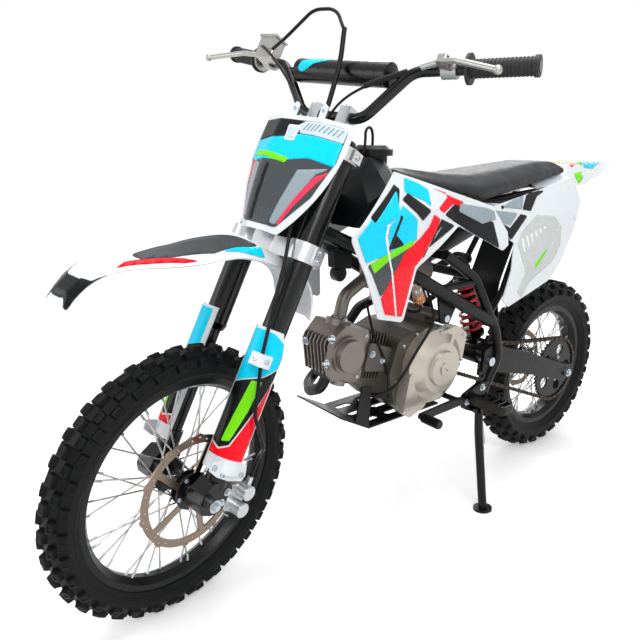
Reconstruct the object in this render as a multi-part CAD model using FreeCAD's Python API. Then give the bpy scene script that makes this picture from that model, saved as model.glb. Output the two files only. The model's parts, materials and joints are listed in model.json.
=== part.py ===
"""Pit bike with 17 inch front and 14 inch rear wire wheels, parked on its side stand.

Two frames of construction are used, both in millimetres.
The bike frame has X forward from the rear axle, Y to the left and Z up from the floor, with the bike upright.
The fork frame has its origin at the front axle, W along the steering axis and U square to it, forward.
Everything is built upright and straight ahead, then steered, leaned onto the stand and set on the floor.
"""

import FreeCAD
import Part
import math
import os

V = FreeCAD.Vector

# Stance
WHEELBASE = 1250.0
RAKE = 26.5  # degrees from the vertical
AXLE_LEAD = 40.0  # front axle ahead of the steering axis
STEER_REST = 10.7  # degrees to the left, as parked
LEAN = 5.0  # degrees to the left, as parked
ORIGIN_X = 634.0  # floor point under the middle of the parked bike
ORIGIN_Y = 95.0

# Tyres and wheels
DISC_T = 3.5
DISC_Y = 46.0
REAR_DISC_Y = -59.5
CHAIN_Y = 62.0
SPROCKET_T = 5.0
# ends is the pair of Y values where the hub's right and left faces lie, which carry disc and sprocket
FRONT = {
    "tyre_r": 287.0, "tyre_w": 78.0, "bead_r": 217.0, "rim_w": 44.0, "lugs": 34, "hub_w": 60.0,
    "ends": (-36.0, DISC_Y), "phase": 26.5,
}
REAR = {
    "tyre_r": 267.0, "tyre_w": 100.0, "bead_r": 181.0, "rim_w": 58.0, "lugs": 30, "hub_w": 76.0,
    "ends": (REAR_DISC_Y + DISC_T, CHAIN_Y - SPROCKET_T / 2), "phase": 0.0,
}
LUG_H = 11.0
LUG_TAPER = 0.8
# Rings of the carcass from the rim out: share of the height, share of the half width
CARCASS = [(0.36, 0.84), (0.60, 0.90), (0.86, 0.66), (1.0, 0.28)]
ROW_H = (0.65, 0.92, 1.0, 0.92, 0.65)  # height of each row of knobs, left to right, as a share of LUG_H
RIM_WALL = 4.0
RIM_FLANGE = 10.0  # flange height above the bead seat
RIM_DEPTH = 15.0  # bead seat down to the inside of the spoke bed
BEAD_GAP = 0.3
HUB_CORE_R = 19.0
HUB_FLANGE_R = 36.0
HUB_FLANGE_T = 5.0
SPOKES = 36
SPOKE_R = 1.7
AXLE_R = 7.5
NUT_R = 12.0
NUT_T = 9.0
SPACER_R = 13.0
RUN_GAP = 0.05  # radial gap of a shaft in its own bore
FACE_GAP = 0.3  # gap between faces that turn past each other
DISC_R = 122.0
REAR_DISC_R = 95.0
CARRIER_R = 30.0
BRAKE_PLATE_T = 6.0

# Fork
LEG_Y = 82.0
LEG_U = -15.0  # leg axis behind the axle
LEG_UPPER_R = 26.0
LEG_LOWER_R = 18.5
LEG_UPPER_W0 = 322.0
LEG_TOP_W = 742.0
FOOT_W1 = 82.0
FOOT_IN_Y = 62.0
FOOT_OUT_Y = 104.0
LOWER_CLAMP_W0 = 494.0
LOWER_CLAMP_T = 38.0
UPPER_CLAMP_T = 28.0
LOWER_CLAMP_W = (LOWER_CLAMP_W0, LOWER_CLAMP_W0 + LOWER_CLAMP_T)
UPPER_CLAMP_W = (LEG_TOP_W - 8.0 - UPPER_CLAMP_T, LEG_TOP_W - 8.0)
CLAMP_WALL = 9.0
STEM_R = 13.0
HEAD_TUBE_R = 25.0
HEAD_W = (LOWER_CLAMP_W[1] + FACE_GAP, UPPER_CLAMP_W[0] - FACE_GAP)
GUARD_R = 37.0
GUARD_T = 2.5
GUARD_W = (62.0, 352.0)

# Front brake
CALIPER_U = 14.0 - DISC_R  # centre of the pots
HOSE_R = 3.6
HOSE_END = (CALIPER_U, 86.0, 52.0)

# Handlebar
BAR_R = 11.0
BAR_CENTRE_U = -34.0
BAR_RISE = 64.0  # bar centre above the top of the legs
BAR_CENTRE_W = LEG_TOP_W + BAR_RISE
BAR_CLAMP_Y = 66.0
RISER_Y = 40.0
BAR_SHOULDER = (-20.0, 170.0, BAR_CENTRE_W + 100.0)
BAR_END = (-56.0, 398.0, BAR_CENTRE_W + 142.0)
PAD_R = 25.0
PAD_HALF = 122.0
CROSSBAR_R = 6.5
GRIP_R = 16.0
GRIP_LEN = 118.0

# Frame
PIVOT_X, PIVOT_Z = 405.0, 392.0
PIVOT_R = 8.0
SIDE_Y = 108.0  # centre plane of each side of the frame
ARM_Y = (80.0, 104.0)  # inner and outer face of each swingarm leg
PLATE_Y = (106.0, 116.0)  # pivot plate, outside the swingarm
PEG_FACE_Y = 126.0  # outer face of the footpeg bracket
BACKBONE_R = 19.0
HANGER_Y = (88.0, 94.0)
ENGINE_BOLT = (566.0, 530.0)
BOLT_R = 6.0
SHOCK_TOP = (404.0, 648.0)
SHOCK_LOW = (322.0, 390.0)
SPRING_SEATS = (64.0, 226.0)  # faces that hold the spring, down the shock from its top eye
SPRING_R = 27.0
SPRING_WIRE_R = 4.6
SPRING_TURNS = 7.0
SPAR_R = 16.0
TUBE_R = 12.0
CROSS_R = 11.0
PEG_X, PEG_Z = 480.0, 304.0

# Chain drive
PITCH = 12.7
REAR_TEETH = 48
DRIVE_TEETH = 15
CHAIN_W = 14.0
PLATE_H = 11.0
DRIVE_X, DRIVE_Z = 487.0, 398.0
DRIVE_R = PITCH / (2 * math.sin(math.pi / DRIVE_TEETH))
POCKET_Y = 50.0

# Engine
CRANK_X, CRANK_Z = 606.0, 420.0
CYL_TILT = 15.0
STATOR_R = 92.0
CASE_HALF = 84.0
CASE_Z0 = 312.0
COVER_OUT = 136.0
HEAD_X0 = 200.0  # from the crank centre to the head joint, along the cylinder
HEAD_LEN = 100.0
HEAD_HALF_H = 62.0
PORT_IN = 47.0  # ports ahead of the head joint
CAM_Y = 62.0  # outer face of the head's left cheek
CHEEK_T = 18.0
CAM_IN = 57.0  # centre of the cam cover ahead of the head joint
CAM_R = 43.0
TAPPET_CAP_R = 17.0
FIN_T = 3.2
FIN_PITCH = 10.0
FACE_R = 42.0  # raised disc of the alternator cover
PLUG_R = 15.0

# Skid plate
SKID_POINT = (650.0, 0.0, 300.0)  # middle of its underside
SKID_NORMAL = (0.0, 0.0, -1.0)
SKID_HALF = 84.0
SKID_T = 4.0

# Exhaust
CAN_FRONT = (392.0, -150.0, 640.0)
CAN_REAR = (50.0, -153.0, 750.0)
CAN_R = 36.0
CAN_ROOM = 8.0
TAIL_R = 19.0
TAIL_LEN = 42.0
HEADER_R = 13.0

# Bodywork
PANEL_T = 3.0
# Each skin is given by the X of a section and its chord of (Z, Y) points, each outline by (X, Z, corner radius)
SHROUD_SKIN = [
    (420.0, [(560, 140), (700, 152), (780, 138), (900, 110)]),
    (620.0, [(560, 142), (740, 154), (810, 136), (900, 112)]),
    (780.0, [(540, 140), (700, 172), (800, 164), (905, 106)]),
    (980.0, [(540, 165), (690, 186), (790, 188), (905, 150)]),
]
PLATE_SKIN = [
    (-20.0, [(500, 118), (640, 118), (760, 100), (900, 70)]),
    (200.0, [(500, 148), (640, 150), (760, 128), (900, 84)]),
    (480.0, [(500, 152), (640, 158), (760, 134), (900, 112)]),
]
SHROUD_OUTLINE = [
    (786, 886, 8), (960, 772, 14), (856, 592, 10), (768, 566, 10), (756, 688, 16),
    (606, 764, 14), (440, 692, 8), (404, 716, 8), (474, 800, 6),
]
PLATE_OUTLINE = [
    (466, 796, 6), (398, 710, 6), (384, 706, 6), (426, 566, 8), (400, 545, 10),
    (224, 592, 60), (76, 716, 60), (28, 786, 30), (60, 852, 10),
]
CAP_X, CAP_Z = 741.0, 914.0
CAP_R = 46.0
NECK_R = 34.0
MUDGUARD_PATH = [(136.0, 806.0), (252.0, 688.0), (312.0, 560.0), (284.0, 440.0)]
MUDGUARD_HALF = 50.0
TIE_R = 7.0
SEAT_DIP = (474.0, 804.0)  # lowest place of the seat's base
RAIL_R = 10.0
STAND_FOOT = (478.0, 189.0)  # on the floor, in the parked bike's own X and Y
STAND_PIVOT = (462.0, PEG_FACE_Y, 280.0)
STAND_BOLT_R = 6.0
STAND_R = 11.0


def vec(p):
    return V(*p)


def rounded_wire(points, radius, closed=False):
    """Straight runs through the points, with a tangent arc of the given radius at each corner."""
    pts = [vec(p) for p in points]
    n = len(pts)
    radii = list(radius) if isinstance(radius, (list, tuple)) else [radius] * n
    ends = []
    edges = []
    for i, p in enumerate(pts):
        if radii[i] <= 0 or (not closed and i in (0, n - 1)):
            ends.append((p, p, None))
            continue
        a = pts[i - 1] - p
        b = pts[(i + 1) % n] - p
        half = a.getAngle(b) / 2
        room = 0.49 * min(a.Length, b.Length)
        cut = min(radii[i] / math.tan(half), room)
        a.normalize()
        b.normalize()
        bisector = a + b
        bisector.normalize()
        r = cut * math.tan(half)
        middle = p + bisector * (cut / math.cos(half) - r)
        ends.append((p + a * cut, p + b * cut, middle))
    for i, (start, end, middle) in enumerate(ends):
        if middle is not None:
            edges.append(Part.Arc(start, middle, end).toShape())
        if closed or i < n - 1:
            following = ends[(i + 1) % n][0]
            if (following - end).Length > 1e-6:
                edges.append(Part.makeLine(end, following))
    return Part.Wire(edges)


def tube(points, r, bend=0.0):
    """A round bar along straight runs joined by bends."""
    wire = rounded_wire(points, bend)
    start = vec(points[0])
    profile = Part.Wire(Part.makeCircle(r, start, vec(points[1]) - start))
    return wire.makePipeShell([profile], True, False)


def rod(a, b, r):
    a, b = vec(a), vec(b)
    return Part.makeCylinder(r, (b - a).Length, a, b - a)


def across(x, z, y0, y1, r):
    """A cylinder along Y from y0 to y1."""
    return Part.makeCylinder(r, y1 - y0, V(x, y0, z), V(0, 1, 0))


def cone_across(x, z, y0, y1, r0, r1):
    return Part.makeCone(r0, r1, y1 - y0, V(x, y0, z), V(0, 1, 0))


def block(x0, x1, y0, y1, z0, z1):
    return Part.makeBox(x1 - x0, y1 - y0, z1 - z0, V(x0, y0, z0))


def prism_y(outline, y0, y1, radius=0.0):
    """An outline of (x, z) corners, carried from y0 to y1."""
    wire = rounded_wire([(x, y0, z) for x, z in outline], radius, closed=True)
    return Part.Face(wire).extrude(V(0, y1 - y0, 0))


def prism_z(outline, z0, z1, radius=0.0):
    """An outline of (x, y) corners, carried from z0 to z1."""
    wire = rounded_wire([(x, y, z0) for x, y in outline], radius, closed=True)
    return Part.Face(wire).extrude(V(0, 0, z1 - z0))


def loft(sections, ruled=False):
    """A solid through closed polygons, each given by its corners."""
    loops = [Part.makePolygon([vec(p) for p in corners + corners[:1]]) for corners in sections]
    return Part.makeLoft(loops, True, ruled)


def turned(profile):
    """A ring or disc turned about Y from (radius, y) corners."""
    face = Part.Face(Part.makePolygon([V(r, y, 0) for r, y in profile + profile[:1]]))
    return face.revolve(V(0, 0, 0), V(0, 1, 0), 360)


def mirrored(shape):
    return shape.mirror(V(0, 0, 0), V(0, 1, 0))


def both_sides(shape):
    return [shape, mirrored(shape)]


def joined(*shapes):
    first, rest = shapes[0], list(shapes[1:])
    return first.fuse(rest).removeSplitter() if rest else first


def around_y(shape, angle, x=0.0, z=0.0):
    copy = shape.copy()
    copy.rotate(V(x, 0, z), V(0, 1, 0), angle)
    return copy


# Wheels, each built about its own axle


def flat(*corners):
    return Part.Face(Part.makePolygon(list(corners) + [corners[0]]))


def knob(base, inside, height):
    """A tapered block that stands on one facet of the carcass: its four sides and its top."""
    centre = (base[0] + base[1] + base[2] + base[3]) / 4
    normal = (base[1] - base[0]).cross(base[3] - base[0])
    normal.normalize()
    if normal.dot(centre - inside) < 0:
        normal = -normal
    top = [centre + (p - centre) * LUG_TAPER + normal * height for p in base]
    sides = [flat(base[i], base[(i + 1) % 4], top[(i + 1) % 4], top[i]) for i in range(4)]
    return sides + [flat(*top)]


def tyre(wheel):
    """Closed carcass of flat facets, with five rows of knobs on it, staggered from row to row."""
    bead, out, half = wheel["bead_r"] + BEAD_GAP, wheel["tyre_r"] - LUG_H, wheel["tyre_w"] / 2
    heel = wheel["rim_w"] / 2 - RIM_WALL - BEAD_GAP
    clear = 1 / math.cos(math.pi / wheel["lugs"])  # keeps the middle of each flat off the rim
    side = [(bead * clear, heel), ((bead + RIM_FLANGE + BEAD_GAP) * clear, heel)]
    side += [(bead + (out - bead) * h, half * w) for h, w in CARCASS]
    rings = side + [(r, -y) for r, y in reversed(side)]
    first, last = len(side) - 3, len(side) + 2  # rings between which the knobs stand
    steps = 2 * wheel["lugs"]

    def corner(ring, k):
        r, y = rings[ring % len(rings)]
        a = math.radians(360.0 * k / steps + wheel["phase"])
        return V(r * math.cos(a), y, r * math.sin(a))

    faces = []
    for i in range(len(rings)):
        for k in range(0, steps, 2):
            a, b, c = corner(i, k), corner(i, k + 1), corner(i, k + 2)
            d, e, f = corner(i + 1, k), corner(i + 1, k + 1), corner(i + 1, k + 2)
            if first <= i < last:
                row = i - first
                inside = V(b.x, 0, b.z) * (bead / out)
                pair = [(a, b, e, d), (b, c, f, e)]
                faces += knob(pair[row % 2], inside, LUG_H * ROW_H[row])
                faces.append(flat(*pair[1 - row % 2]))
            elif i + 1 == first:
                faces += [flat(a, d, e), flat(a, e, c), flat(c, e, f)]
            elif i == last:
                faces += [flat(d, a, b), flat(d, b, f), flat(f, b, c)]
            else:
                faces.append(flat(a, c, f, d))
    surface = Part.makeCompound(faces)
    surface.sewShape()
    solid = Part.makeSolid(surface.Shells[0])
    if solid.Volume < 0:
        solid.reverse()
    return solid


def rim(wheel):
    """Dropped-centre rim: two flanges, two bead seats and the spoke bed."""
    seat, half, t = wheel["bead_r"], wheel["rim_w"] / 2, RIM_WALL
    well = seat - RIM_DEPTH + t
    outside = [
        (seat + RIM_FLANGE, half),
        (seat + RIM_FLANGE, half - t / 2),
        (seat, half - t),
        (seat, half - t - 6),
        (well, half - t - 12),
    ]
    inside = [(seat - t - 1, half - 1), (well - t, half - t - 11)]
    ring = outside + [(r, -y) for r, y in reversed(outside)]
    ring += [(r, -y) for r, y in inside] + [(r, y) for r, y in reversed(inside)]
    return turned(ring)


def hub(wheel):
    """Hub shell with a flange at each end, laced to the rim with crossed spokes."""
    half, core = wheel["hub_w"] / 2, HUB_CORE_R
    bore = AXLE_R + RUN_GAP
    right, left = wheel["ends"]
    shell = turned([
        (bore, right), (CARRIER_R, right), (CARRIER_R, -half), (core, -half), (core, half),
        (CARRIER_R, half), (CARRIER_R, left), (bore, left),
    ])
    flange = turned([
        (core, half - HUB_FLANGE_T),
        (HUB_FLANGE_R, half - HUB_FLANGE_T / 2 - 1),
        (HUB_FLANGE_R, half),
        (core, half),
    ])
    rim_r = wheel["bead_r"] - RIM_DEPTH - 0.4
    spokes = []
    quarter = SPOKES // 4
    for side in (1, -1):
        for lean, inset in ((1, 1.5), (-1, 3.5)):
            for i in range(quarter):
                at = (i + (0.0 if side > 0 else 0.5)) * 360.0 / quarter
                hub_a = math.radians(at)
                rim_a = math.radians(at + lean * 42.0 + (0 if side > 0 else lean * 3.0))
                r0 = HUB_FLANGE_R - 4
                y0 = side * (half - inset)
                y1 = side * (2.0 if lean > 0 else 7.0)
                a = (r0 * math.cos(hub_a), y0, r0 * math.sin(hub_a))
                b = (rim_r * math.cos(rim_a), y1, rim_r * math.sin(rim_a))
                spokes.append(rod(a, b, SPOKE_R))
    return shell.fuse([flange, mirrored(flange)] + spokes)


def brake_disc(r, y, hub_r):
    """Wave disc: a scalloped rubbing ring on slanted arms, drilled right through."""
    lobes = 10
    ring_w = 17.0
    outer = across(0, 0, y, y + DISC_T, r - 4)
    scallops = []
    drillings = []
    arms = []
    for i in range(lobes):
        a = 2 * math.pi * i / lobes
        scallops.append(across((r - 11) * math.cos(a), (r - 11) * math.sin(a), y, y + DISC_T, 11))
        for step, depth in ((-0.16, 9.0), (0.0, 6.0), (0.16, 11.0)):
            c, s = math.cos(a + step), math.sin(a + step)
            drillings.append(across((r - 2 - depth) * c, (r - 2 - depth) * s, y - 1, y + DISC_T + 1, 2.6))
    for i in range(5):
        a = 2 * math.pi * i / 5
        arm = prism_y([(hub_r - 2, -6), (r - ring_w, 22), (r - ring_w, 36), (hub_r - 2, 8)], y, y + DISC_T)
        arms.append(around_y(arm, math.degrees(a)))
    ring = outer.fuse(scallops).cut(across(0, 0, y - 1, y + DISC_T + 1, r - ring_w - 3))
    centre = across(0, 0, y, y + DISC_T, hub_r + 9)
    whole = ring.fuse(arms + [centre]).cut(drillings + [across(0, 0, y - 1, y + DISC_T + 1, hub_r - 9)])
    return whole


def front_disc():
    return brake_disc(DISC_R, DISC_Y, CARRIER_R)


def rear_disc():
    return brake_disc(REAR_DISC_R, REAR_DISC_Y, CARRIER_R)


def sprocket(teeth, y, t, hole_r):
    """Plain toothed wheel for a roller chain, with one gullet between each pair of teeth."""
    r = PITCH / (2 * math.sin(math.pi / teeth))
    wheel = across(0, 0, y, y + t, r + 3.0)
    gullets = []
    for i in range(teeth):
        a = 2 * math.pi * (i + 0.5) / teeth
        gullets.append(across(r * math.cos(a), r * math.sin(a), y - 1, y + t + 1, 4.4))
    return wheel.cut(gullets + [across(0, 0, y - 1, y + t + 1, hole_r)])


def rear_sprocket():
    """Large sprocket with five windows, bolted to the left end of the rear hub."""
    t = SPROCKET_T
    windows = []
    for i in range(5):
        a = 2 * math.pi * (i + 0.5) / 5
        windows.append(across(62 * math.cos(a), 62 * math.sin(a), CHAIN_Y - t, CHAIN_Y + t, 17))
    return sprocket(REAR_TEETH, CHAIN_Y - t / 2, t, 26).cut(windows)


# Pieces of the steering assembly, in the fork frame


def fork_leg():
    """Upper tube over a bright lower tube, with the cast foot that holds the axle."""
    upper = Part.makeCylinder(LEG_UPPER_R, LEG_TOP_W - LEG_UPPER_W0, V(LEG_U, LEG_Y, LEG_UPPER_W0))
    seal = Part.makeCone(LEG_UPPER_R - 3, LEG_UPPER_R + 2, 14, V(LEG_U, LEG_Y, LEG_UPPER_W0 - 14))
    cap = Part.makeCylinder(LEG_UPPER_R - 8, 8, V(LEG_U, LEG_Y, LEG_TOP_W))
    lower = Part.makeCylinder(LEG_LOWER_R, LEG_UPPER_W0 - FOOT_W1, V(LEG_U, LEG_Y, FOOT_W1))
    socket = Part.makeCylinder(LEG_LOWER_R + 5, FOOT_W1 - 24, V(LEG_U, LEG_Y, 24))
    lug_side = [(-44, 40), (-38, -14), (-14, -26), (14, -26), (26, -8), (24, 14), (8, 40)]
    lug = prism_y(lug_side, FOOT_IN_Y, FOOT_OUT_Y, 8)
    bore = across(0, 0, FOOT_IN_Y - 1, FOOT_OUT_Y + 1, AXLE_R + RUN_GAP)
    return joined(upper, seal, cap, lower, socket, lug).cut(bore)


def front_axle():
    """Axle with a nut outside each foot and a spacer between each foot and the hub."""
    return axle(FRONT, FOOT_IN_Y, FOOT_OUT_Y)


def axle(wheel, inner, outer):
    """An axle through both sides: nuts outside them, and spacers between them and the hub."""
    right, left = wheel["ends"]
    reach = outer + NUT_T + 5
    spacers = [(-inner, right - FACE_GAP), (left + FACE_GAP, inner)]
    nuts = [(-outer - NUT_T, -outer), (outer, outer + NUT_T)]
    parts = [across(0, 0, -reach, reach, AXLE_R)]
    parts += [across(0, 0, y0, y1, SPACER_R) for y0, y1 in spacers]
    parts += [across(0, 0, y0, y1, NUT_R) for y0, y1 in nuts]
    return joined(*parts)


def fork_guard():
    """Half-round cover in front of the lower tube, with a bolted foot flange."""
    low, high = GUARD_W
    outer = Part.makeCylinder(GUARD_R, high - low, V(LEG_U, LEG_Y, low))
    inner = Part.makeCylinder(GUARD_R - GUARD_T, high - low + 2, V(LEG_U, LEG_Y, low - 1))
    back, front = LEG_U - 14, LEG_U + 60
    keep_side = [(back, low), (front, low), (front, high), (LEG_U + 10, high), (back, high - 46)]
    shell = outer.cut(inner).common(prism_y(keep_side, LEG_Y - 24, LEG_Y + 60))
    spigot = block(back, LEG_U + 34, LEG_Y - 12, LEG_Y + 12, low, low + 12)
    spigot = spigot.cut(Part.makeCylinder(LEG_LOWER_R + 5.2, 40, V(LEG_U, LEG_Y, low - 5)))
    return joined(shell, spigot)


def clamp(w0, w1, split_u):
    """One triple clamp: a cast bridge with a round eye for each leg and a boss on the steering axis."""
    eye_r = LEG_UPPER_R + CLAMP_WALL
    back, ahead, behind = -AXLE_LEAD - 26, LEG_U + 22, LEG_U - 22
    plan = [
        (back, -40), (behind, -LEG_Y), (ahead, -LEG_Y), (-6, 0), (ahead, LEG_Y), (behind, LEG_Y), (back, 40),
    ]
    parts = [prism_z(plan, w0, w1, 10)]
    cuts = []
    for sign in (1, -1):
        parts.append(Part.makeCylinder(eye_r, w1 - w0, V(LEG_U, sign * LEG_Y, w0)))
        ear = block(split_u - 14, split_u + 14, 0, 15, w0 + 3, w1 - 3)
        ear.translate(V(0, eye_r + LEG_Y - 10, 0))
        parts.append(ear if sign > 0 else mirrored(ear))
        cuts.append(Part.makeCylinder(LEG_UPPER_R + 0.1, w1 - w0 + 2, V(LEG_U, sign * LEG_Y, w0 - 1)))
    return joined(*parts).cut(cuts)


def triple_clamps():
    """Both clamps on their stem, with the two bar risers and their caps."""
    lower = clamp(*LOWER_CLAMP_W, LEG_U)
    upper = clamp(*UPPER_CLAMP_W, LEG_U)
    bottom, top = LOWER_CLAMP_W[0], UPPER_CLAMP_W[1]
    stem = Part.makeCylinder(STEM_R, top + 10 - bottom, V(-AXLE_LEAD, 0, bottom))
    parts = [lower, upper, stem]
    for y in (RISER_Y, -RISER_Y):
        u, cap = BAR_CENTRE_U, BAR_CENTRE_W + BAR_R + 9
        parts.append(block(u - 15, u + 15, y - 14, y + 14, top - 2, cap))
    bar = across(BAR_CENTRE_U, BAR_CENTRE_W, -BAR_CLAMP_Y, BAR_CLAMP_Y, BAR_R + 0.1)
    return joined(*parts).cut(bar)


def handlebar():
    """Bent bar with a straight cross brace between its shoulders."""
    u, y, w = BAR_SHOULDER
    path = [
        (BAR_END[0], -BAR_END[1], BAR_END[2]),
        (u, -y, w),
        (BAR_CENTRE_U, -BAR_CLAMP_Y - 14, BAR_CENTRE_W),
        (BAR_CENTRE_U, BAR_CLAMP_Y + 14, BAR_CENTRE_W),
        (u, y, w),
        BAR_END,
    ]
    bar = tube(path, BAR_R, 55)
    brace_y = y - 12
    brace = rod((u, -brace_y, w - 10), (u, brace_y, w - 10), CROSSBAR_R)
    return joined(bar, brace)


def along_bar(y):
    """Point and direction of the bar's outer run at this Y, on the left side."""
    a, b = vec(BAR_SHOULDER), vec(BAR_END)
    d = b - a
    p = a + d * ((y - a.y) / d.y)
    d.normalize()
    return p, d


def bar_sleeve(y0, y1, r, bore):
    p, d = along_bar(y0)
    q, _ = along_bar(y1)
    length = (q - p).Length
    return Part.makeCylinder(r, length, p, d).cut(Part.makeCylinder(bore, length + 2, p - d, d))


def bar_bore():
    """The room that the bar's outer run takes in what is clamped on it."""
    p, d = along_bar(BAR_SHOULDER[1])
    return Part.makeCylinder(BAR_R + 0.1, 300, p, d)


def grip():
    """Rubber grip with a flange at each end."""
    bore = BAR_R + 0.1
    outer = BAR_END[1] - 1
    body = bar_sleeve(outer - GRIP_LEN, outer, GRIP_R, bore)
    flange = bar_sleeve(outer - GRIP_LEN - 6, outer - GRIP_LEN, GRIP_R + 12, bore)
    rib = bar_sleeve(outer - 8, outer, GRIP_R + 3, bore)
    return joined(body, flange, rib)


def bar_pad():
    """Foam roll round the cross brace."""
    u, _, w = BAR_SHOULDER
    outside = Part.makeCylinder(PAD_R, 2 * PAD_HALF, V(u, -PAD_HALF, w - 10), V(0, 1, 0))
    bore = Part.makeCylinder(CROSSBAR_R + 0.3, 2 * PAD_HALF + 2, V(u, -PAD_HALF - 1, w - 10), V(0, 1, 0))
    return outside.cut(bore)


def lever(y_perch, reach_y):
    """Perch clamped on the bar, with a blade that runs forward of the grip."""
    p, _ = along_bar(y_perch)
    ring = bar_sleeve(y_perch - 14, y_perch + 14, BAR_R + 6, BAR_R + 0.1)
    u, y = p.x, y_perch
    arm = prism_z([(u + 12, y - 13), (u + 44, y - 8), (u + 46, y + 12), (u + 12, y + 13)], p.z - 9, p.z + 6, 4)
    root = V(p.x + 38, y_perch + 2, p.z - 5)
    bend = V(p.x + 52, y_perch + 40, p.z - 10)
    tip = V(p.x + 62, reach_y, p.z - 30)
    blade = tube([root, bend, tip], 5.5, 30)
    ball = Part.makeSphere(8.0, tip)
    return joined(ring, arm, blade, ball)


def clutch_lever():
    """Left lever and perch with the cable adjuster."""
    p, _ = along_bar(240)
    adjuster = rod((p.x + 30, 232, p.z - 2), (p.x + 26, 196, p.z - 12), 6)
    return joined(lever(240, 372), adjuster).cut(bar_bore())


def brake_lever():
    """Right lever on its master cylinder, with the fluid reservoir on top, and the throttle housing."""
    y = 232
    p, _ = along_bar(y)
    u = p.x
    body = prism_z([(u + 12, y - 34), (u + 42, y - 38), (u + 46, y + 6), (u + 12, y + 14)], p.z - 12, p.z + 10, 5)
    pot = block(p.x + 10, p.x + 44, y - 34, y + 12, p.z + 8, p.z + 36)
    lid = block(p.x + 7, p.x + 47, y - 37, y + 15, p.z + 36, p.z + 41)
    throttle = bar_sleeve(262, 272, 24, BAR_R + 0.1)
    whole = joined(lever(y, 372), body, pot, lid).cut(bar_bore())
    return Part.makeCompound([mirrored(whole), mirrored(throttle)])


def front_plate():
    """Number plate: a shield that bulges forward between its side edges."""
    table = [  # height W, half width, U at the edge, U at the middle
        (524.0, 50.0, 44.0, 56.0),
        (612.0, 98.0, 28.0, 56.0),
        (690.0, 119.0, 22.0, 50.0),
        (768.0, 118.0, 20.0, 42.0),
    ]
    sections = []
    for w, half, edge_u, mid_u in table:
        front = [(edge_u, -half, w), (mid_u, -half * 0.45, w), (mid_u, half * 0.45, w), (edge_u, half, w)]
        back = [(u - PANEL_T, y * (1 - 2.0 / half), w) for u, y, w in reversed(front)]
        sections.append(front + back)
    shell = loft(sections)
    top = UPPER_CLAMP_W[1]
    lug = block(-20, 43, -16, 16, top, top + 10)
    return joined(shell, lug)


def front_fender():
    """High fender bolted under the lower clamp, long and pointed in front and swept down behind."""
    under = LOWER_CLAMP_W[0] - 0.4
    table = [  # U and W of the ridge, half width, drop of the edge, half width of the flat top
        (398.0, 276.0, 34.0, 10.0, 18.0),
        (318.0, 398.0, 62.0, 30.0, 22.0),
        (236.0, 456.0, 74.0, 48.0, 24.0),
        (130.0, under, 66.0, 40.0, 28.0),
        (30.0, under, 53.0, 24.0, 30.0),
        (-56.0, under, 53.0, 20.0, 30.0),
        (-150.0, 404.0, 56.0, 10.0, 34.0),
    ]
    sections = []
    for i, (u, w, half, drop, crown) in enumerate(table):
        before, after = table[max(i - 1, 0)], table[min(i + 1, len(table) - 1)]
        run = math.hypot(after[0] - before[0], after[1] - before[1])
        nu, nw = (after[1] - before[1]) / run, (before[0] - after[0]) / run
        low_u, low_w = u - nu * drop, w - nw * drop
        top = [(low_u, -half, low_w), (u, -crown, w), (u, crown, w), (low_u, half, low_w)]
        inner = 1 - PANEL_T / half
        below = [(a - nu * PANEL_T, y * inner, c - nw * PANEL_T) for a, y, c in reversed(top)]
        sections.append(top + below)
    return loft(sections).cut(triple_clamps())


def front_caliper():
    """Two-pot caliper hung behind the left foot, over the disc, with the hose boss on top."""
    c = CALIPER_U
    side = [(c + 16, 30), (c - 18, 34), (c - 28, 0), (c - 18, -34), (c + 16, -30)]
    bracket_y = (FOOT_IN_Y + 4, FOOT_IN_Y + 12)
    bracket = prism_y([(-30, 20), (c - 10, 34), (c - 18, 6), (c - 6, -34), (-30, -16)], *bracket_y, 6)
    outer = prism_y(side, DISC_Y + DISC_T + 5, bracket_y[0], 8)
    inner = prism_y(side, DISC_Y - 18, DISC_Y - 3, 8)
    bridge_side = [(c - 17, 30), (c - 28, 26), (c - 32, 0), (c - 28, -26), (c - 17, -30)]
    bridge = prism_y(bridge_side, DISC_Y - 3, DISC_Y + DISC_T + 5, 2)
    pots = [across(c, z, bracket_y[1], bracket_y[1] + 24, 16) for z in (20, -17)]
    boss = rod((c, HOSE_END[1], 26), HOSE_END, 6)
    return joined(outer, inner, bridge, bracket, boss, *pots).cut(fork_leg())


def brake_hose():
    """Hose from the master cylinder, in a loop over the bar and down the left leg to the caliper."""
    p, _ = along_bar(232)
    path = [
        (p.x + 52, -184, p.z + 2),
        (p.x + 66, -140, p.z + 22),
        (36, -92, 1002),
        (26, -40, 1010),
        (20, 0, 962),
        (18, 20, 890),
        (16, 28, 800),
        (26, 38, 700),
        (36, 46, 620),
        (26, 60, 556),
        (34, 88, 478),
        (38, 104, 400),
        (34, 120, 300),
        (8, 134, 190),
        (-60, 130, 126),
        (HOSE_END[0], HOSE_END[1], 100),
        (HOSE_END[0], HOSE_END[1], HOSE_END[2] + FACE_GAP),
    ]
    return tube(path, HOSE_R, 40)


# Pieces of the chassis, in the bike frame


def fork_point(u, y, w):
    """A point of the fork frame, in the bike frame with the steering straight ahead."""
    a = math.radians(RAKE)
    return (
        WHEELBASE + u * math.cos(a) - w * math.sin(a),
        y,
        FRONT["tyre_r"] + u * math.sin(a) + w * math.cos(a),
    )


def backbone_path():
    return [fork_point(-AXLE_LEAD - 10, 0, 655), (690, 0, 752), (560, 0, 700)]


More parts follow.
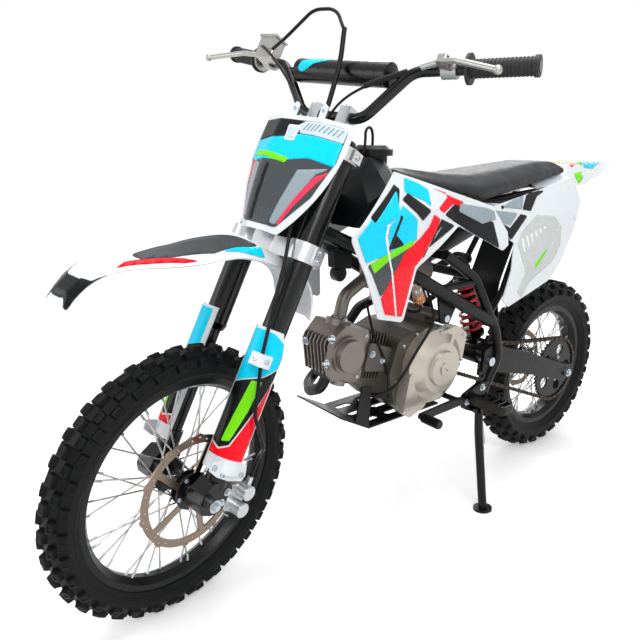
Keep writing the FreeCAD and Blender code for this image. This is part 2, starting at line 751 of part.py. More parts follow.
def frame_backbone():
    """Head tube, backbone, and the cross tubes that tie the two sides together."""
    low, high = HEAD_W
    head = rod(fork_point(-AXLE_LEAD, 0, low), fork_point(-AXLE_LEAD, 0, high), HEAD_TUBE_R)
    bore = rod(fork_point(-AXLE_LEAD, 0, low - 2), fork_point(-AXLE_LEAD, 0, high + 2), STEM_R + FACE_GAP)
    backbone = tube(backbone_path(), BACKBONE_R, 120)
    behind = -AXLE_LEAD - 18
    gusset = prism_y([fork_point(behind, 0, 560)[::2], fork_point(behind, 0, 640)[::2], (800, 790)], -3, 3)
    top = rod((572, -SIDE_Y + 12, 684), (572, SIDE_Y - 12, 684), CROSS_R)
    shock_tube = rod((482, -SIDE_Y + 2, 626), (482, SIDE_Y - 2, 626), CROSS_R)
    ear_side = [(486, 634), (400, 662), (392, 640), (478, 616)]
    shock_ears = [prism_y(ear_side, y - 3, y + 3, 8) for y in (22, -22)]
    bolt = across(SHOCK_TOP[0], SHOCK_TOP[1], -28, 28, 6)
    spine = joined(head, backbone, gusset, top)
    mount = joined(shock_tube, *shock_ears, bolt)
    return Part.makeCompound([spine.cut(bore), mount])


def frame_side():
    """Left side: straight spar, bent down tube, short brace and the pivot plate."""
    y, low = SIDE_Y, PLATE_Y[1] - 2
    spar_path = [(946, 12, 786), (884, 30, 752), (806, 86, 710), (690, y, 649), (402, y + 4, 497)]
    down_path = [(596, y - 4, 692), (485, y, 624), (394, low + 4, 476), (371, low + 4, 398), (426, low, 302)]
    spar = tube(spar_path, SPAR_R, 160)
    down = tube(down_path, TUBE_R, 70)
    brace = rod((618, y, 612), (488, y, 612), TUBE_R - 3)
    plate = prism_y([(372, 440), (428, 424), (432, 360), (398, 352), (380, 372)], *PLATE_Y, 10)
    foot_side = [(402, 340), (446, 344), (512, 322), (508, 286), (452, 262), (420, 284)]
    foot = prism_y(foot_side, PLATE_Y[1] - 2, PEG_FACE_Y, 12)
    hanger = prism_y([(524, 562), (600, 602), (582, 518), (552, 514)], *HANGER_Y, 8)
    hole = across(PIVOT_X, PIVOT_Z, y - 30, y + 60, PIVOT_R + RUN_GAP)
    hanger_hole = across(*ENGINE_BOLT, 60, y, BOLT_R + RUN_GAP)
    stand_hole = across(STAND_PIVOT[0], STAND_PIVOT[2], y, y + 60, STAND_BOLT_R + RUN_GAP)
    return joined(spar, down, brace, plate, foot, hanger).cut([hole, hanger_hole, stand_hole])


def frame_sides():
    """Both sides, coped where they meet the head tube and the cross tubes."""
    head_tube = rod(*[fork_point(-AXLE_LEAD, 0, w) for w in HEAD_W], HEAD_TUBE_R)
    coping = frame_backbone().Solids + [head_tube]
    return Part.makeCompound([side.cut(coping) for side in both_sides(frame_side())])


def through_bolt(x, z, face_y, r, head_r, head_t):
    """A bolt right across the bike, with its head and nut against faces at plus and minus face_y."""
    ends = [across(x, z, face_y, face_y + head_t, head_r), across(x, z, -face_y - head_t, -face_y, head_r)]
    return joined(across(x, z, -face_y - 4, face_y + 4, r), *ends)


def frame_bolts():
    """Swingarm pivot bolt and the engine's top bolt."""
    pivot = through_bolt(PIVOT_X, PIVOT_Z, PLATE_Y[1], PIVOT_R, NUT_R, NUT_T)
    engine = through_bolt(*ENGINE_BOLT, HANGER_Y[1], BOLT_R, 9.0, 6.0)
    return Part.makeCompound([pivot, engine])


def subframe():
    """Seat rails and their lower braces, tied at the back."""
    dip_x, dip_z = SEAT_DIP[0], SEAT_DIP[1] - FACE_GAP - RAIL_R
    rail = tube([(586, 62, 700), (dip_x, 62, dip_z), (60, 52, 822)], RAIL_R, 40)
    tie_x, tie_z = mudguard_tie()
    brace = tube([(412, 104, 510), (330, 80, 560), (tie_x, 66, tie_z), (196, 57, 809)], 8, 60)
    ties = [rod((60, -52, 822), (60, 52, 822), RAIL_R), rod((tie_x, -66, tie_z), (tie_x, 66, tie_z), TIE_R)]
    whole = joined(*both_sides(rail), *both_sides(brace), *ties)
    return whole.cut(frame_sides().Solids + frame_backbone().Solids)


def swingarm():
    """Box arms tapering to the axle, tied behind the pivot tube."""
    z = REAR["tyre_r"]
    arm_side = [
        (424, 424), (376, 428), (190, 366), (14, 296), (-34, 286), (-40, 262), (6, 240), (190, 302), (392, 356),
    ]
    arm = prism_y(arm_side, *ARM_Y, 6)
    pivot = across(PIVOT_X, PIVOT_Z, -ARM_Y[0] - 1, ARM_Y[0] + 1, 16)
    tie = prism_y([(372, 404), (346, 400), (348, 358), (372, 362)], -ARM_Y[0] - 1, ARM_Y[0] + 1, 6)
    lug_side = [(356, 362), (312, 376), (306, 396), (320, 404), (356, 398)]
    lugs = [prism_y(lug_side, y - 3, y + 3, 6) for y in (19, -19)]
    bolt = across(SHOCK_LOW[0], SHOCK_LOW[1], -24, 24, 6)
    half = AXLE_R + RUN_GAP
    slot_side = [(16, z + half), (-24, z + half), (-24, z - half), (16, z - half)]
    slots = both_sides(prism_y(slot_side, ARM_Y[0] - 5, ARM_Y[1] + 5, half - 0.01))
    bore = across(PIVOT_X, PIVOT_Z, -130, 130, PIVOT_R + RUN_GAP)
    return joined(arm, mirrored(arm), pivot, tie, *lugs, bolt).cut(slots + [bore])


def crankcase():
    """Finned lower case of the horizontal engine."""
    side = [
        (520, 345), (500, 400), (512, 470), (560, 510), (660, 512), (712, 494), (738, 420), (720, 340),
        (690, CASE_Z0), (548, CASE_Z0),
    ]
    pocket_r = DRIVE_R + PLATE_H / 2 + 5
    pocket = across(DRIVE_X, DRIVE_Z, POCKET_Y, CASE_HALF + 1, pocket_r)
    x, z = ENGINE_BOLT
    lug = joined(across(x, z, -HANGER_Y[0], HANGER_Y[0], 15), block(x - 15, x + 15, -40, 40, z - 40, z))
    hole = across(x, z, -100, 100, BOLT_R + RUN_GAP)
    return joined(prism_y(side, -CASE_HALF, CASE_HALF - 2, 22), lug).cut([pocket, hole])


def cylinder_frame(shape):
    """Turns a piece built along +X from the crank centre to the cylinder's slope."""
    copy = shape.copy()
    copy.rotate(V(0, 0, 0), V(0, 1, 0), -CYL_TILT)
    copy.translate(V(CRANK_X, 0, CRANK_Z))
    return copy


def cylinder():
    """Finned barrel, with the cam chain tunnel down its left side."""
    fins = []
    for i in range(6):
        x = 134 + FIN_PITCH * i
        fins.append(block(x, x + FIN_T, -54, 54, -56, 56))
    barrel = Part.makeCylinder(37, HEAD_X0 - 110, V(110, 0, 0), V(1, 0, 0))
    tunnel = prism_y([(124, -30), (HEAD_X0, -34), (HEAD_X0, 34), (124, 26)], 30, CAM_Y + 8, 6)
    return cylinder_frame(joined(barrel, tunnel, *fins)).cut(crankcase())


def cylinder_head():
    """Head with its left cheek and round cam cover, tappet caps above and below, and front fins."""
    x0, h, front = HEAD_X0, HEAD_HALF_H, HEAD_X0 + HEAD_LEN
    core_side = [(x0, h), (front - 36, h), (front - 14, 24), (front - 38, -h), (x0, -h)]
    core = prism_y(core_side, -CAM_Y, CAM_Y - CHEEK_T, 4)
    cheek_side = [
        (x0 + 10, h), (front - 22, h), (front, h - 24), (front, 24 - h), (front - 22, -h), (x0 + 10, -h),
        (x0, 12 - h), (x0, h - 12),
    ]
    cheek = prism_y(cheek_side, CAM_Y - CHEEK_T - 1, CAM_Y, 5)
    cam_x = x0 + CAM_IN
    cam = [
        across(cam_x, 0, CAM_Y - 1, CAM_Y + 7, CAM_R),
        cone_across(cam_x, 0, CAM_Y + 7, CAM_Y + 20, CAM_R - 5, CAM_R - 7),
    ]
    caps = [
        Part.makeCylinder(TAPPET_CAP_R, 14, V(cam_x + 30, 28, h - 2)),
        Part.makeCylinder(TAPPET_CAP_R, 12, V(cam_x - 2, 49, -h - 10)),
    ]
    fin_side = [(front - 60, 46), (front - 6, 26), (front - 2, 10), (front - 30, -60), (front - 34, -60)]
    fins = [prism_y(fin_side, y - FIN_T / 2, y + FIN_T / 2) for y in (-52, -39, -26, -13, 0, 13, 26, 39)]
    return cylinder_frame(joined(core, cheek, *cam, *caps, *fins))


def head_point(along, up):
    """A point on the cylinder's centre plane, from distances along it and square to it."""
    a = math.radians(CYL_TILT)
    return (
        CRANK_X + along * math.cos(a) - up * math.sin(a),
        0.0,
        CRANK_Z + along * math.sin(a) + up * math.cos(a),
    )


def engine_covers():
    """Left alternator cover with its stepped face, hump, rib and foot, and the right clutch cover."""
    y0 = CASE_HALF - 1.7
    drum_y, bevel_y = y0 + 24, COVER_OUT - 8
    x, z = CRANK_X, CRANK_Z
    foot_side = [(92, 4), (112, -96), (88, -112), (40, -96), (-16, -30)]
    hump_side = [(10, 84), (-66, 92), (-104, 66), (-92, 0), (-40, 0)]
    foot = prism_y([(x + dx, z + dz) for dx, dz in foot_side], y0, y0 + 30, 10)
    hump = prism_y([(x + dx, z + dz) for dx, dz in hump_side], y0, y0 + 30, 12)
    drum = across(x, z, y0, drum_y, STATOR_R)
    bevel = cone_across(x, z, drum_y, bevel_y, STATOR_R, STATOR_R - 30)
    face = cone_across(x, z, bevel_y, COVER_OUT, FACE_R + 3, FACE_R)
    rib = around_y(block(x + 40, x + 84, drum_y - 4, bevel_y, z - 6, z + 6), -115, x, z)
    plug = across(x, z, COVER_OUT - 1, COVER_OUT + 3, PLUG_R)
    slot = around_y(block(x - 9, x + 9, COVER_OUT + 1, COVER_OUT + 4, z - 1.5, z + 1.5), -30, x, z)
    left = joined(drum, bevel, face, foot, hump, rib, plug).cut(slot)
    clutch = [
        across(x - 46, z - 18, -CASE_HALF - 36, -CASE_HALF - FACE_GAP, 66),
        across(x + 34, z + 10, -CASE_HALF - 26, -CASE_HALF - FACE_GAP, 62),
    ]
    return Part.makeCompound([left, joined(*clutch)])


def carburettor():
    """Intake elbow, carburettor body and pod filter."""
    port = HEAD_X0 + PORT_IN
    rise = [head_point(port, HEAD_HALF_H + 2), head_point(port, HEAD_HALF_H + 62), (742, 0, 640)]
    elbow = tube(rise, 15, 40)
    flange = cylinder_frame(block(port - 14, port + 14, -28, 28, HEAD_HALF_H, HEAD_HALF_H + 8))
    body = block(664, 744, -26, 26, 612, 668)
    bowl = Part.makeCylinder(22, 34, V(704, 0, 580))
    top = Part.makeCylinder(18, 30, V(704, 0, 666))
    neck = rod((664, 0, 640), (640, 0, 638), 24)
    pod = Part.makeCone(40, 34, 88, V(642, 0, 638), V(-1, 0, -0.02))
    return joined(elbow, flange, body, bowl, top, neck, pod)


def exhaust():
    """Header from under the head, round to the right and back to the high silencer."""
    port = HEAD_X0 + PORT_IN
    header = tube(
        [
            head_point(port, -HEAD_HALF_H - 6),
            head_point(port + 8, -HEAD_HALF_H - 34),
            (876, -44, 372),
            (834, -104, 366),
            (770, -124, 400),
            (640, -140, 520),
            (470, -146, 560),
            CAN_FRONT,
        ],
        HEADER_R,
        40,
    )
    can = rod(CAN_FRONT, CAN_REAR, CAN_R)
    run = vec(CAN_REAR) - vec(CAN_FRONT)
    run.normalize()
    end = vec(CAN_REAR) + run * TAIL_LEN
    tail = rod(CAN_REAR, end, TAIL_R)
    outlet = rod(end - run * 30, end + run, TAIL_R - 4)
    flange = cylinder_frame(block(port - 15, port + 15, -30, 30, -HEAD_HALF_H - 8, -HEAD_HALF_H))
    return joined(header, can, tail, flange).cut(outlet)


def skid_plate():
    """Slotted plate under the engine, turned up in front, with a side strut and four bosses to the case."""
    t = SKID_T
    z0 = SKID_POINT[2]
    side = [(560, z0), (800, z0), (884, z0 + 46), (884, z0 + 46 + t), (798, z0 + t), (560, z0 + t)]
    plate = prism_y(side, -SKID_HALF, SKID_HALF)
    slots = []
    long, wide = 24, 9
    for x in (610, 690, 766):
        for y in (-48, 0, 48):
            plan = [(x - long, y - wide), (x + long, y - wide), (x + long, y + wide), (x - long, y + wide)]
            slots.append(prism_z(plan, z0 - 10, z0 + 30, wide - 0.1))
    strut_side = [(800, z0 + 2), (842, z0 + 25), (824, z0 + 108), (796, z0 + 104)]
    strut = prism_y(strut_side, SKID_HALF - t, SKID_HALF)
    bosses = [block(x, x + 16, y - 8, y + 8, z0 + t, CASE_Z0) for x in (640, 720) for y in (24, -24)]
    return joined(plate.cut(slots), strut, *bosses)


def footpegs():
    """Two serrated pegs on their brackets."""
    x, y0, z = PEG_X, PEG_FACE_Y, PEG_Z
    outside = [(x - 26, y0 + 22), (x + 24, y0 + 22), (x + 22, y0 + 112), (x - 24, y0 + 112)]
    inside = [(x - 21, y0 + 28), (x + 19, y0 + 28), (x + 17, y0 + 107), (x - 19, y0 + 107)]
    ring = prism_z(outside, z, z + 22, 12).cut(prism_z(inside, z - 1, z + 23, 8))
    bars = [block(x - 23, x + 21, y0 + at, y0 + at + 4, z + 8, z + 22) for at in (48, 68, 88)]
    root_plan = [(x - 14, y0), (x + 14, y0), (x + 18, y0 + 26), (x - 18, y0 + 26)]
    root = prism_z(root_plan, z - 4, z + 16, 4)
    return Part.makeCompound(both_sides(joined(ring, *bars, root)))


def shift_lever():
    """Gear lever from its shaft to the ribbed toe peg."""
    shaft = across(556, 328, CASE_HALF - 2, 150, 7)
    arm = prism_y([(568, 341), (548, 338), (545, 320), (690, 316), (704, 322), (702, 334)], 146, 154, 6)
    toe = across(694, 325, 154, 206, 10)
    return joined(shaft, arm, toe)


def kick_starter():
    shaft = across(540, 372, -140, -CASE_HALF - 36, 8)
    arm = tube([(540, -134, 372), (520, -158, 430), (500, -176, 515)], 8, 30)
    pedal = across(500, 515, -222, -170, 10)
    return joined(shaft, arm, pedal)


def brake_pedal():
    """Right pedal, pivoted beside the footpeg."""
    y = PEG_FACE_Y
    pivot = across(448, 282, -y - 20, -y, 10)
    arm = tube([(448, -y - 14, 282), (560, -y - 22, 286), (700, -y - 24, 322)], 6.5, 60)
    pad = block(686, 718, -y - 58, -y - 24, 318, 330)
    return joined(pivot, arm, pad)


def chain():
    """One closed loop of link plates round both sprockets, with the rollers between them."""
    r_rear = PITCH / (2 * math.sin(math.pi / REAR_TEETH))
    r_drive = PITCH / (2 * math.sin(math.pi / DRIVE_TEETH))
    dx, dz = DRIVE_X, DRIVE_Z - REAR["tyre_r"]
    span = math.hypot(dx, dz)
    slope = math.atan2(dz, dx)
    swell = math.asin((r_rear - r_drive) / span)

    def loop(offset, y0, y1):
        """Plan of the belt line moved out by offset, carried from y0 to y1."""
        rr, rd = r_rear + offset, r_drive + offset
        corners = []
        for sign in (1, -1):
            a = slope + sign * (math.pi / 2 - swell)
            rear_pt = V(rr * math.cos(a), y0, REAR["tyre_r"] + rr * math.sin(a))
            drive_pt = V(DRIVE_X + rd * math.cos(a), y0, DRIVE_Z + rd * math.sin(a))
            corners.append((rear_pt, drive_pt))
        back = V(-rr * math.cos(slope), y0, REAR["tyre_r"] - rr * math.sin(slope))
        nose = V(DRIVE_X + rd * math.cos(slope), y0, DRIVE_Z + rd * math.sin(slope))
        (r0, d0), (r1, d1) = corners
        edges = [
            Part.makeLine(r0, d0),
            Part.Arc(d0, nose, d1).toShape(),
            Part.makeLine(d1, r1),
            Part.Arc(r1, back, r0).toShape(),
        ]
        return Part.Face(Part.Wire(edges)).extrude(V(0, y1 - y0, 0))

    plates = []
    for y0, y1 in ((CHAIN_Y - CHAIN_W / 2, CHAIN_Y - 3.2), (CHAIN_Y + 3.2, CHAIN_Y + CHAIN_W / 2)):
        plates.append(loop(PLATE_H / 2, y0, y1).cut(loop(-PLATE_H / 2, y0 - 1, y1 + 1)))
    web = loop(PLATE_H / 2, CHAIN_Y - 3.3, CHAIN_Y + 3.3).cut(loop(3.6, CHAIN_Y - 4, CHAIN_Y + 4))
    return joined(plates[0], plates[1], web)


def drive_sprocket():
    wheel = sprocket(DRIVE_TEETH, CHAIN_Y - SPROCKET_T / 2, SPROCKET_T, 7)
    wheel.translate(V(DRIVE_X, 0, DRIVE_Z))
    shaft = across(DRIVE_X, DRIVE_Z, POCKET_Y, CHAIN_Y + 8, 9)
    return joined(wheel, shaft)


def rear_shock():
    """Damper with its eyes, spring seats and reservoir."""
    top, low = V(SHOCK_TOP[0], 0, SHOCK_TOP[1]), V(SHOCK_LOW[0], 0, SHOCK_LOW[1])
    axis = low - top
    axis.normalize()
    body = Part.makeCylinder(18, 130, top + axis * 26, axis)
    shaft = Part.makeCylinder(7, 100, top + axis * 150, axis)
    seat_starts = (SPRING_SEATS[0] - 8, SPRING_SEATS[1])
    seats = [Part.makeCylinder(32, 8, top + axis * at, axis) for at in seat_starts]
    eyes = [across(top.x, top.z, -17, 17, 14), across(low.x, low.z, -14, 14, 12)]
    neck = Part.makeCylinder(14, 30, top + axis * 4, axis)
    lower_neck = Part.makeCylinder(11, 30, top + axis * 232, axis)
    bores = [across(p.x, p.z, -30, 30, 6 + RUN_GAP) for p in (top, low)]
    return joined(body, shaft, *seats, *eyes, neck, lower_neck).cut(bores)


def shock_spring():
    """Coil spring between the two seats of the damper, as one helix of round wire."""
    top, low = V(SHOCK_TOP[0], 0, SHOCK_TOP[1]), V(SHOCK_LOW[0], 0, SHOCK_LOW[1])
    inset = SPRING_WIRE_R + FACE_GAP
    length = SPRING_SEATS[1] - SPRING_SEATS[0] - 2 * inset
    pitch = length / SPRING_TURNS
    helix = Part.makeHelix(pitch, length, SPRING_R)
    slope = V(0, 2 * math.pi * SPRING_R, pitch)
    wire = Part.Wire(Part.makeCircle(SPRING_WIRE_R, V(SPRING_R, 0, 0), slope))
    coil = Part.Wire(helix.Edges).makePipeShell([wire], True, True)
    run = low - top
    start = V(run).normalize() * (SPRING_SEATS[0] + inset)
    coil.Placement = FreeCAD.Placement(top + start, FreeCAD.Rotation(V(0, 0, 1), run))
    return coil


def rear_brake():
    """Caliper over the right-hand disc, on a plate round the axle."""
    z = REAR["tyre_r"]
    y0, y1 = -ARM_Y[0], -ARM_Y[0] + BRAKE_PLATE_T
    disc_in, disc_out = REAR_DISC_Y + DISC_T, REAR_DISC_Y
    plate = prism_y([(24, z - 18), (24, z + 18), (-20, z + 20), (-20, z - 20)], y0, y1, 8)
    arm = prism_y([(12, z + 16), (96, z + 52), (104, z + 20), (20, z - 14)], y0, y1, 6)
    side = [(66, z + 54), (100, z + 58), (118, z + 18), (78, z + 14)]
    outer = prism_y(side, y1, disc_out - 3, 8)
    inner = prism_y(side, disc_in + 3, disc_in + 16, 8)
    bridge = prism_y([(98, z + 57), (107, z + 57), (122, z + 18), (113, z + 15)], y1, disc_in + 16, 2)
    hole = across(0, z, y0 - 1, y1 + 1, AXLE_R + RUN_GAP)
    return joined(plate, arm, outer, inner, bridge).cut(hole)


def rear_axle():
    plate = across(0, 0, -ARM_Y[0], -ARM_Y[0] + BRAKE_PLATE_T, SPACER_R + 1)
    through = across(0, 0, -ARM_Y[0] - 1, -ARM_Y[0] + BRAKE_PLATE_T + 1, AXLE_R)
    whole = axle(REAR, *ARM_Y).cut(plate.cut(through))
    whole.translate(V(0, 0, REAR["tyre_r"]))
    return whole


def fuel_tank():
    """Tank between the shrouds, narrow at the seat and bulging at the shoulders."""
    table = [  # X at the bottom and at the top, half width, low Z, shoulder Z, top Z
        (664.0, 642.0, 48.0, 775.0, 800.0, 832.0),
        (712.0, 700.0, 68.0, 775.0, 840.0, 878.0),
        (754.0, 744.0, 92.0, 770.0, 856.0, 906.0),
        (808.0, 788.0, 112.0, 764.0, 850.0, 912.0),
        (860.0, 812.0, 98.0, 772.0, 822.0, 886.0),
    ]
    sections = []
    for x_low, x_top, half, low, shoulder, top in table:
        mid = x_low + (x_top - x_low) * (shoulder - low) / (top - low)
        sections.append([
            (x_low, -half * 0.8, low), (mid, -half, shoulder), (x_top, -half * 0.4, top),
            (x_top, half * 0.4, top), (mid, half, shoulder), (x_low, half * 0.8, low),
        ])
    body = loft(sections, ruled=True)
    neck = Part.makeCylinder(NECK_R, CAP_Z - 850, V(CAP_X, 0, 850))
    tunnel = tube(backbone_path(), BACKBONE_R + FACE_GAP, 120)
    slot = block(780, 900, -6, 6, 740, 810)
    return joined(body, neck).cut([tunnel, slot])


def tank_cap():
    rim_part = Part.makeCylinder(CAP_R, 14, V(CAP_X, 0, CAP_Z))
    crown = Part.makeCone(CAP_R - 4, CAP_R - 14, 8, V(CAP_X, 0, CAP_Z + 14))
    return joined(rim_part, crown)


def seat():
    """Long padded seat: narrow nose on the tank, a dip, and a wide tail."""
    table = [  # X, half width, low Z, shoulder Z, top Z
        (704.0, 44.0, 880.0, 886.0, 893.0),
        (640.0, 64.0, 852.0, 866.0, 878.0),
        (560.0, 92.0, 828.0, 848.0, 868.0),
        (SEAT_DIP[0], 112.0, SEAT_DIP[1], 838.0, 864.0),
        (330.0, 104.0, 824.0, 852.0, 876.0),
        (190.0, 84.0, 846.0, 868.0, 889.0),
        (52.0, 62.0, 862.0, 876.0, 886.0),
    ]
    sections = []
    for x, half, low, shoulder, top in table:
        sections.append([
            (x, -half, low), (x, -half, shoulder), (x, -half * 0.6, top),
            (x, half * 0.6, top), (x, half, shoulder), (x, half, low),
        ])
    return loft(sections, ruled=True).cut(fuel_tank())


def skin(table):
    """A sheet of panel thickness through (z, y) chords given at several X."""
    sections = []
    for x, chord in table:
        outside = [(x, y, z) for z, y in chord]
        sections.append(outside + [(x, y - PANEL_T, z) for z, y in reversed(chord)])
    return loft(sections, ruled=True)


def cutter(outline):
    """The prism across the left side that trims a skin to its outline."""
    return prism_y([(x, z) for x, z, _ in outline], 40, 240, [r for _, _, r in outline])


def post(table, x, z, y0, r):
    """A round post from y0 out to the inner face of the sheet, face to face with it."""
    sections = []
    for at_x, chord in table:
        inner = [(at_x, y - PANEL_T, c) for c, y in chord]
        sections.append(inner + [(at_x, 0, chord[-1][0]), (at_x, 0, chord[0][0])])
    return across(x, z, y0, 300, r).common(loft(sections, ruled=True))


def shroud():
    """Left shroud: flared beside the tank, drawn in along the seat, with a crease at its widest."""
    sheet = skin(SHROUD_SKIN).common(cutter(SHROUD_OUTLINE))
    posts = [post(SHROUD_SKIN, 796, 848, 112.3, 9), post(SHROUD_SKIN, 500, 762, 72.3, 8)]
    return joined(sheet, *posts)


def side_plate():
    """Left side panel: a broad number plate with a point at the bottom."""
    sheet = skin(PLATE_SKIN).common(cutter(PLATE_OUTLINE))
    posts = [post(PLATE_SKIN, 420, 793, 71.5, 7), post(PLATE_SKIN, 150, 812, 65, 7)]
    return joined(sheet, *posts)


def side_plates():
    """Both side panels, the right one cut away round the silencer."""
    front, rear = vec(CAN_FRONT), vec(CAN_REAR)
    d = rear - front
    d.normalize()
    up = CAN_R + CAN_ROOM
    corners = [front - d * 160 + V(0, 0, up), rear + d * 160 + V(0, 0, up), V(-300, 0, 300), V(700, 0, 300)]
    room = prism_y([(c.x, c.z) for c in corners], -260, -40)
    return Part.makeCompound([side_plate(), mirrored(side_plate()).cut(room)])


def rear_fender():
    """Tail: a raised pointed sheet with turned-down sides, running forward under the seat."""
    table = [  # X, Z of the top, half width, drop of the side, half width of the flat top
        (196.0, 844.6, 66.0, 20.0, 40.0),
        (44.0, 861.0, 70.0, 26.0, 44.0),
        (36.0, 880.0, 70.0, 60.0, 46.0),
        (-60.0, 888.0, 60.0, 58.0, 40.0),
        (-258.0, 880.0, 26.0, 6.0, 14.0),
    ]
    sections = []
    for x, z, half, drop, crown in table:
        top = [(x, -half, z - drop), (x, -crown, z), (x, crown, z), (x, half, z - drop)]
        low = [(x, y * (1 - PANEL_T / half), c - PANEL_T) for x, y, c in reversed(top)]
        sections.append(top + low)
    return loft(sections, ruled=True)


def mudguard_normal():
    """Forward normal of the mudguard's upper run, in X and Z."""
    (x0, z0), (x1, z1) = MUDGUARD_PATH[:2]
    run = math.hypot(x1 - x0, z1 - z0)
    return (z0 - z1) / run, (x1 - x0) / run


def mudguard_tie():
    """Place of the subframe tie that the mudguard's upper run lies against."""
    (x0, z0), (x1, z1) = MUDGUARD_PATH[:2]
    nx, nz = mudguard_normal()
    off = TIE_R + FACE_GAP
    return x0 + (x1 - x0) * 0.92 + nx * off, z0 + (z1 - z0) * 0.92 + nz * off


def inner_fender():
    """Mudguard wall between the rear wheel and the shock, hung from the tie of the subframe."""
    line = rounded_wire([(x, 0, z) for x, z in MUDGUARD_PATH], 120)
    x, z = MUDGUARD_PATH[0]
    nx, nz = mudguard_normal()
    back = V(-nx * PANEL_T, 0, -nz * PANEL_T)
    a, b = V(x, -MUDGUARD_HALF, z), V(x, MUDGUARD_HALF, z)
    edge = Part.makePolygon([a, b, b + back, a + back, a])
    return line.makePipeShell([edge], True, False)


def side_stand():
    """Leg from the pivot ear to the round foot; its length and foot follow from the parked stance."""
    foot = parked_to_bike(V(STAND_FOOT[0], STAND_FOOT[1], 0))
    up = parked_to_bike(V(STAND_FOOT[0], STAND_FOOT[1], 1)) - foot
    pivot = vec(STAND_PIVOT)
    pad = Part.makeCylinder(24, 7, foot, up)
    leg = tube([pivot + V(0, 12, -8), pivot + V(2, 18, -60), foot + up * 4], STAND_R, 60)
    ear = across(pivot.x, pivot.z, pivot.y + FACE_GAP, pivot.y + 16, 15)
    bolt = across(pivot.x, pivot.z, PLATE_Y[1] - 4, pivot.y + 22, STAND_BOLT_R)
    return joined(leg, pad, ear, bolt)


# The parked stance

STANCE = []


def lowest(shape, placement):
    """Height of the lowest knob corner of a tyre that is placed so."""
    return min(placement.multVec(v.Point).z for v in shape.Vertexes)


def stance():
    """Rotation that leans the bike, and the pitch and lift that put both tyres on the floor."""
    if not STANCE:
        placement = FreeCAD.Placement(V(0, 0, 0), FreeCAD.Rotation(V(1, 0, 0), -LEAN))
        steer = steering_placement()
        rear = FreeCAD.Placement(V(0, 0, REAR["tyre_r"]), FreeCAD.Rotation())
        tyres = [(tyre(FRONT), steer), (tyre(REAR), rear)]
        for _ in range(3):
            front_low, rear_low = [lowest(shape, placement.multiply(at)) for shape, at in tyres]
            pitch = math.degrees(math.atan2(front_low - rear_low, WHEELBASE))
            turn = FreeCAD.Placement(V(0, 0, 0), FreeCAD.Rotation(V(0, 1, 0), pitch))
            lift = FreeCAD.Placement(V(0, 0, -rear_low), FreeCAD.Rotation())
            placement = turn.multiply(lift).multiply(placement)
        STANCE.append(placement)
    return STANCE[0].copy()


def steering_placement():
    """From the fork frame to the bike frame, with the front end turned to its parked angle."""
    turn = FreeCAD.Placement(V(0, 0, 0), FreeCAD.Rotation(V(0, 0, 1), STEER_REST), V(-AXLE_LEAD, 0, 0))
    rake = FreeCAD.Placement(V(WHEELBASE, 0, FRONT["tyre_r"]), FreeCAD.Rotation(V(0, 1, 0), -RAKE))
    return rake.multiply(turn)


def parked_to_bike(point):
    return stance().inverse().multVec(point)


FORK_NODES = {
    "front_tyre": lambda: tyre(FRONT),
    "front_rim": lambda: rim(FRONT),
    "front_hub": lambda: hub(FRONT),
    "front_disc": front_disc,
    "front_axle": front_axle,
    "fork_legs": lambda: Part.makeCompound(both_sides(fork_leg())),
    "fork_guards": lambda: Part.makeCompound(both_sides(fork_guard())),
    "triple_clamps": triple_clamps,
    "handlebar": handlebar,
    "bar_pad": bar_pad,
    "grips": lambda: Part.makeCompound(both_sides(grip())),
    "clutch_lever": clutch_lever,
    "brake_lever": brake_lever,
    "front_plate": front_plate,
    "front_fender": front_fender,
    "front_caliper": front_caliper,
    "brake_hose": brake_hose,
}

REAR_WHEEL_NODES = {
    "rear_tyre": lambda: tyre(REAR),
    "rear_rim": lambda: rim(REAR),
    "rear_hub": lambda: hub(REAR),
    "rear_sprocket": rear_sprocket,
    "rear_disc": rear_disc,
}

BIKE_NODES = {
    "frame_backbone": frame_backbone,
    "frame_sides": frame_sides,
    "frame_bolts": frame_bolts,
    "subframe": subframe,
    "swingarm": swingarm,
    "crankcase": crankcase,
    "cylinder": cylinder,
    "cylinder_head": cylinder_head,
    "engine_covers": engine_covers,
    "carburettor": carburettor,
    "exhaust": exhaust,
    "skid_plate": skid_plate,
    "footpegs": footpegs,
    "shift_lever": shift_lever,
    "kick_starter": kick_starter,
    "brake_pedal": brake_pedal,
    "chain": chain,
    "drive_sprocket": drive_sprocket,
    "rear_shock": rear_shock,
    "shock_spring": shock_spring,
    "rear_brake": rear_brake,
    "rear_axle": rear_axle,
    "fuel_tank": fuel_tank,
    "tank_cap": tank_cap,
    "seat": seat,
    "shrouds": lambda: Part.makeCompound(both_sides(shroud())),
    "side_plates": side_plates,
    "rear_fender": rear_fender,
    "inner_fender": inner_fender,
    "side_stand": side_stand,
}


def main():
    os.makedirs("parts", exist_ok=True)
    park = stance()
    park.move(V(-ORIGIN_X, -ORIGIN_Y, 0))
    steer = steering_placement()
    rear_axle_at = FreeCAD.Placement(V(0, 0, REAR["tyre_r"]), FreeCAD.Rotation())
    groups = [
        (FORK_NODES, park.multiply(steer)),
        (REAR_WHEEL_NODES, park.multiply(rear_axle_at)),
        (BIKE_NODES, park),
    ]
    for nodes, placement in groups:
        for name, make in nodes.items():
            shape = make()
            shape.Placement = placement.multiply(shape.Placement)
            shape.exportStep(os.path.join("parts", name + ".step"))


main()
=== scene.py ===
"""Looks of the pit bike: finishes, graphics, tyres, seat, chain, cables and small fittings.

Sizes in the tables are millimetres, in the frames that the part is built in. The bike frame has X forward
from under the rear axle, Y left and Z up. The fork frame has U forward from the front axle, Y left and W up
along the steering axis.
"""

import json
import math

import bmesh
import bpy
from mathutils import Matrix, Vector
from mathutils.bvhtree import BVHTree

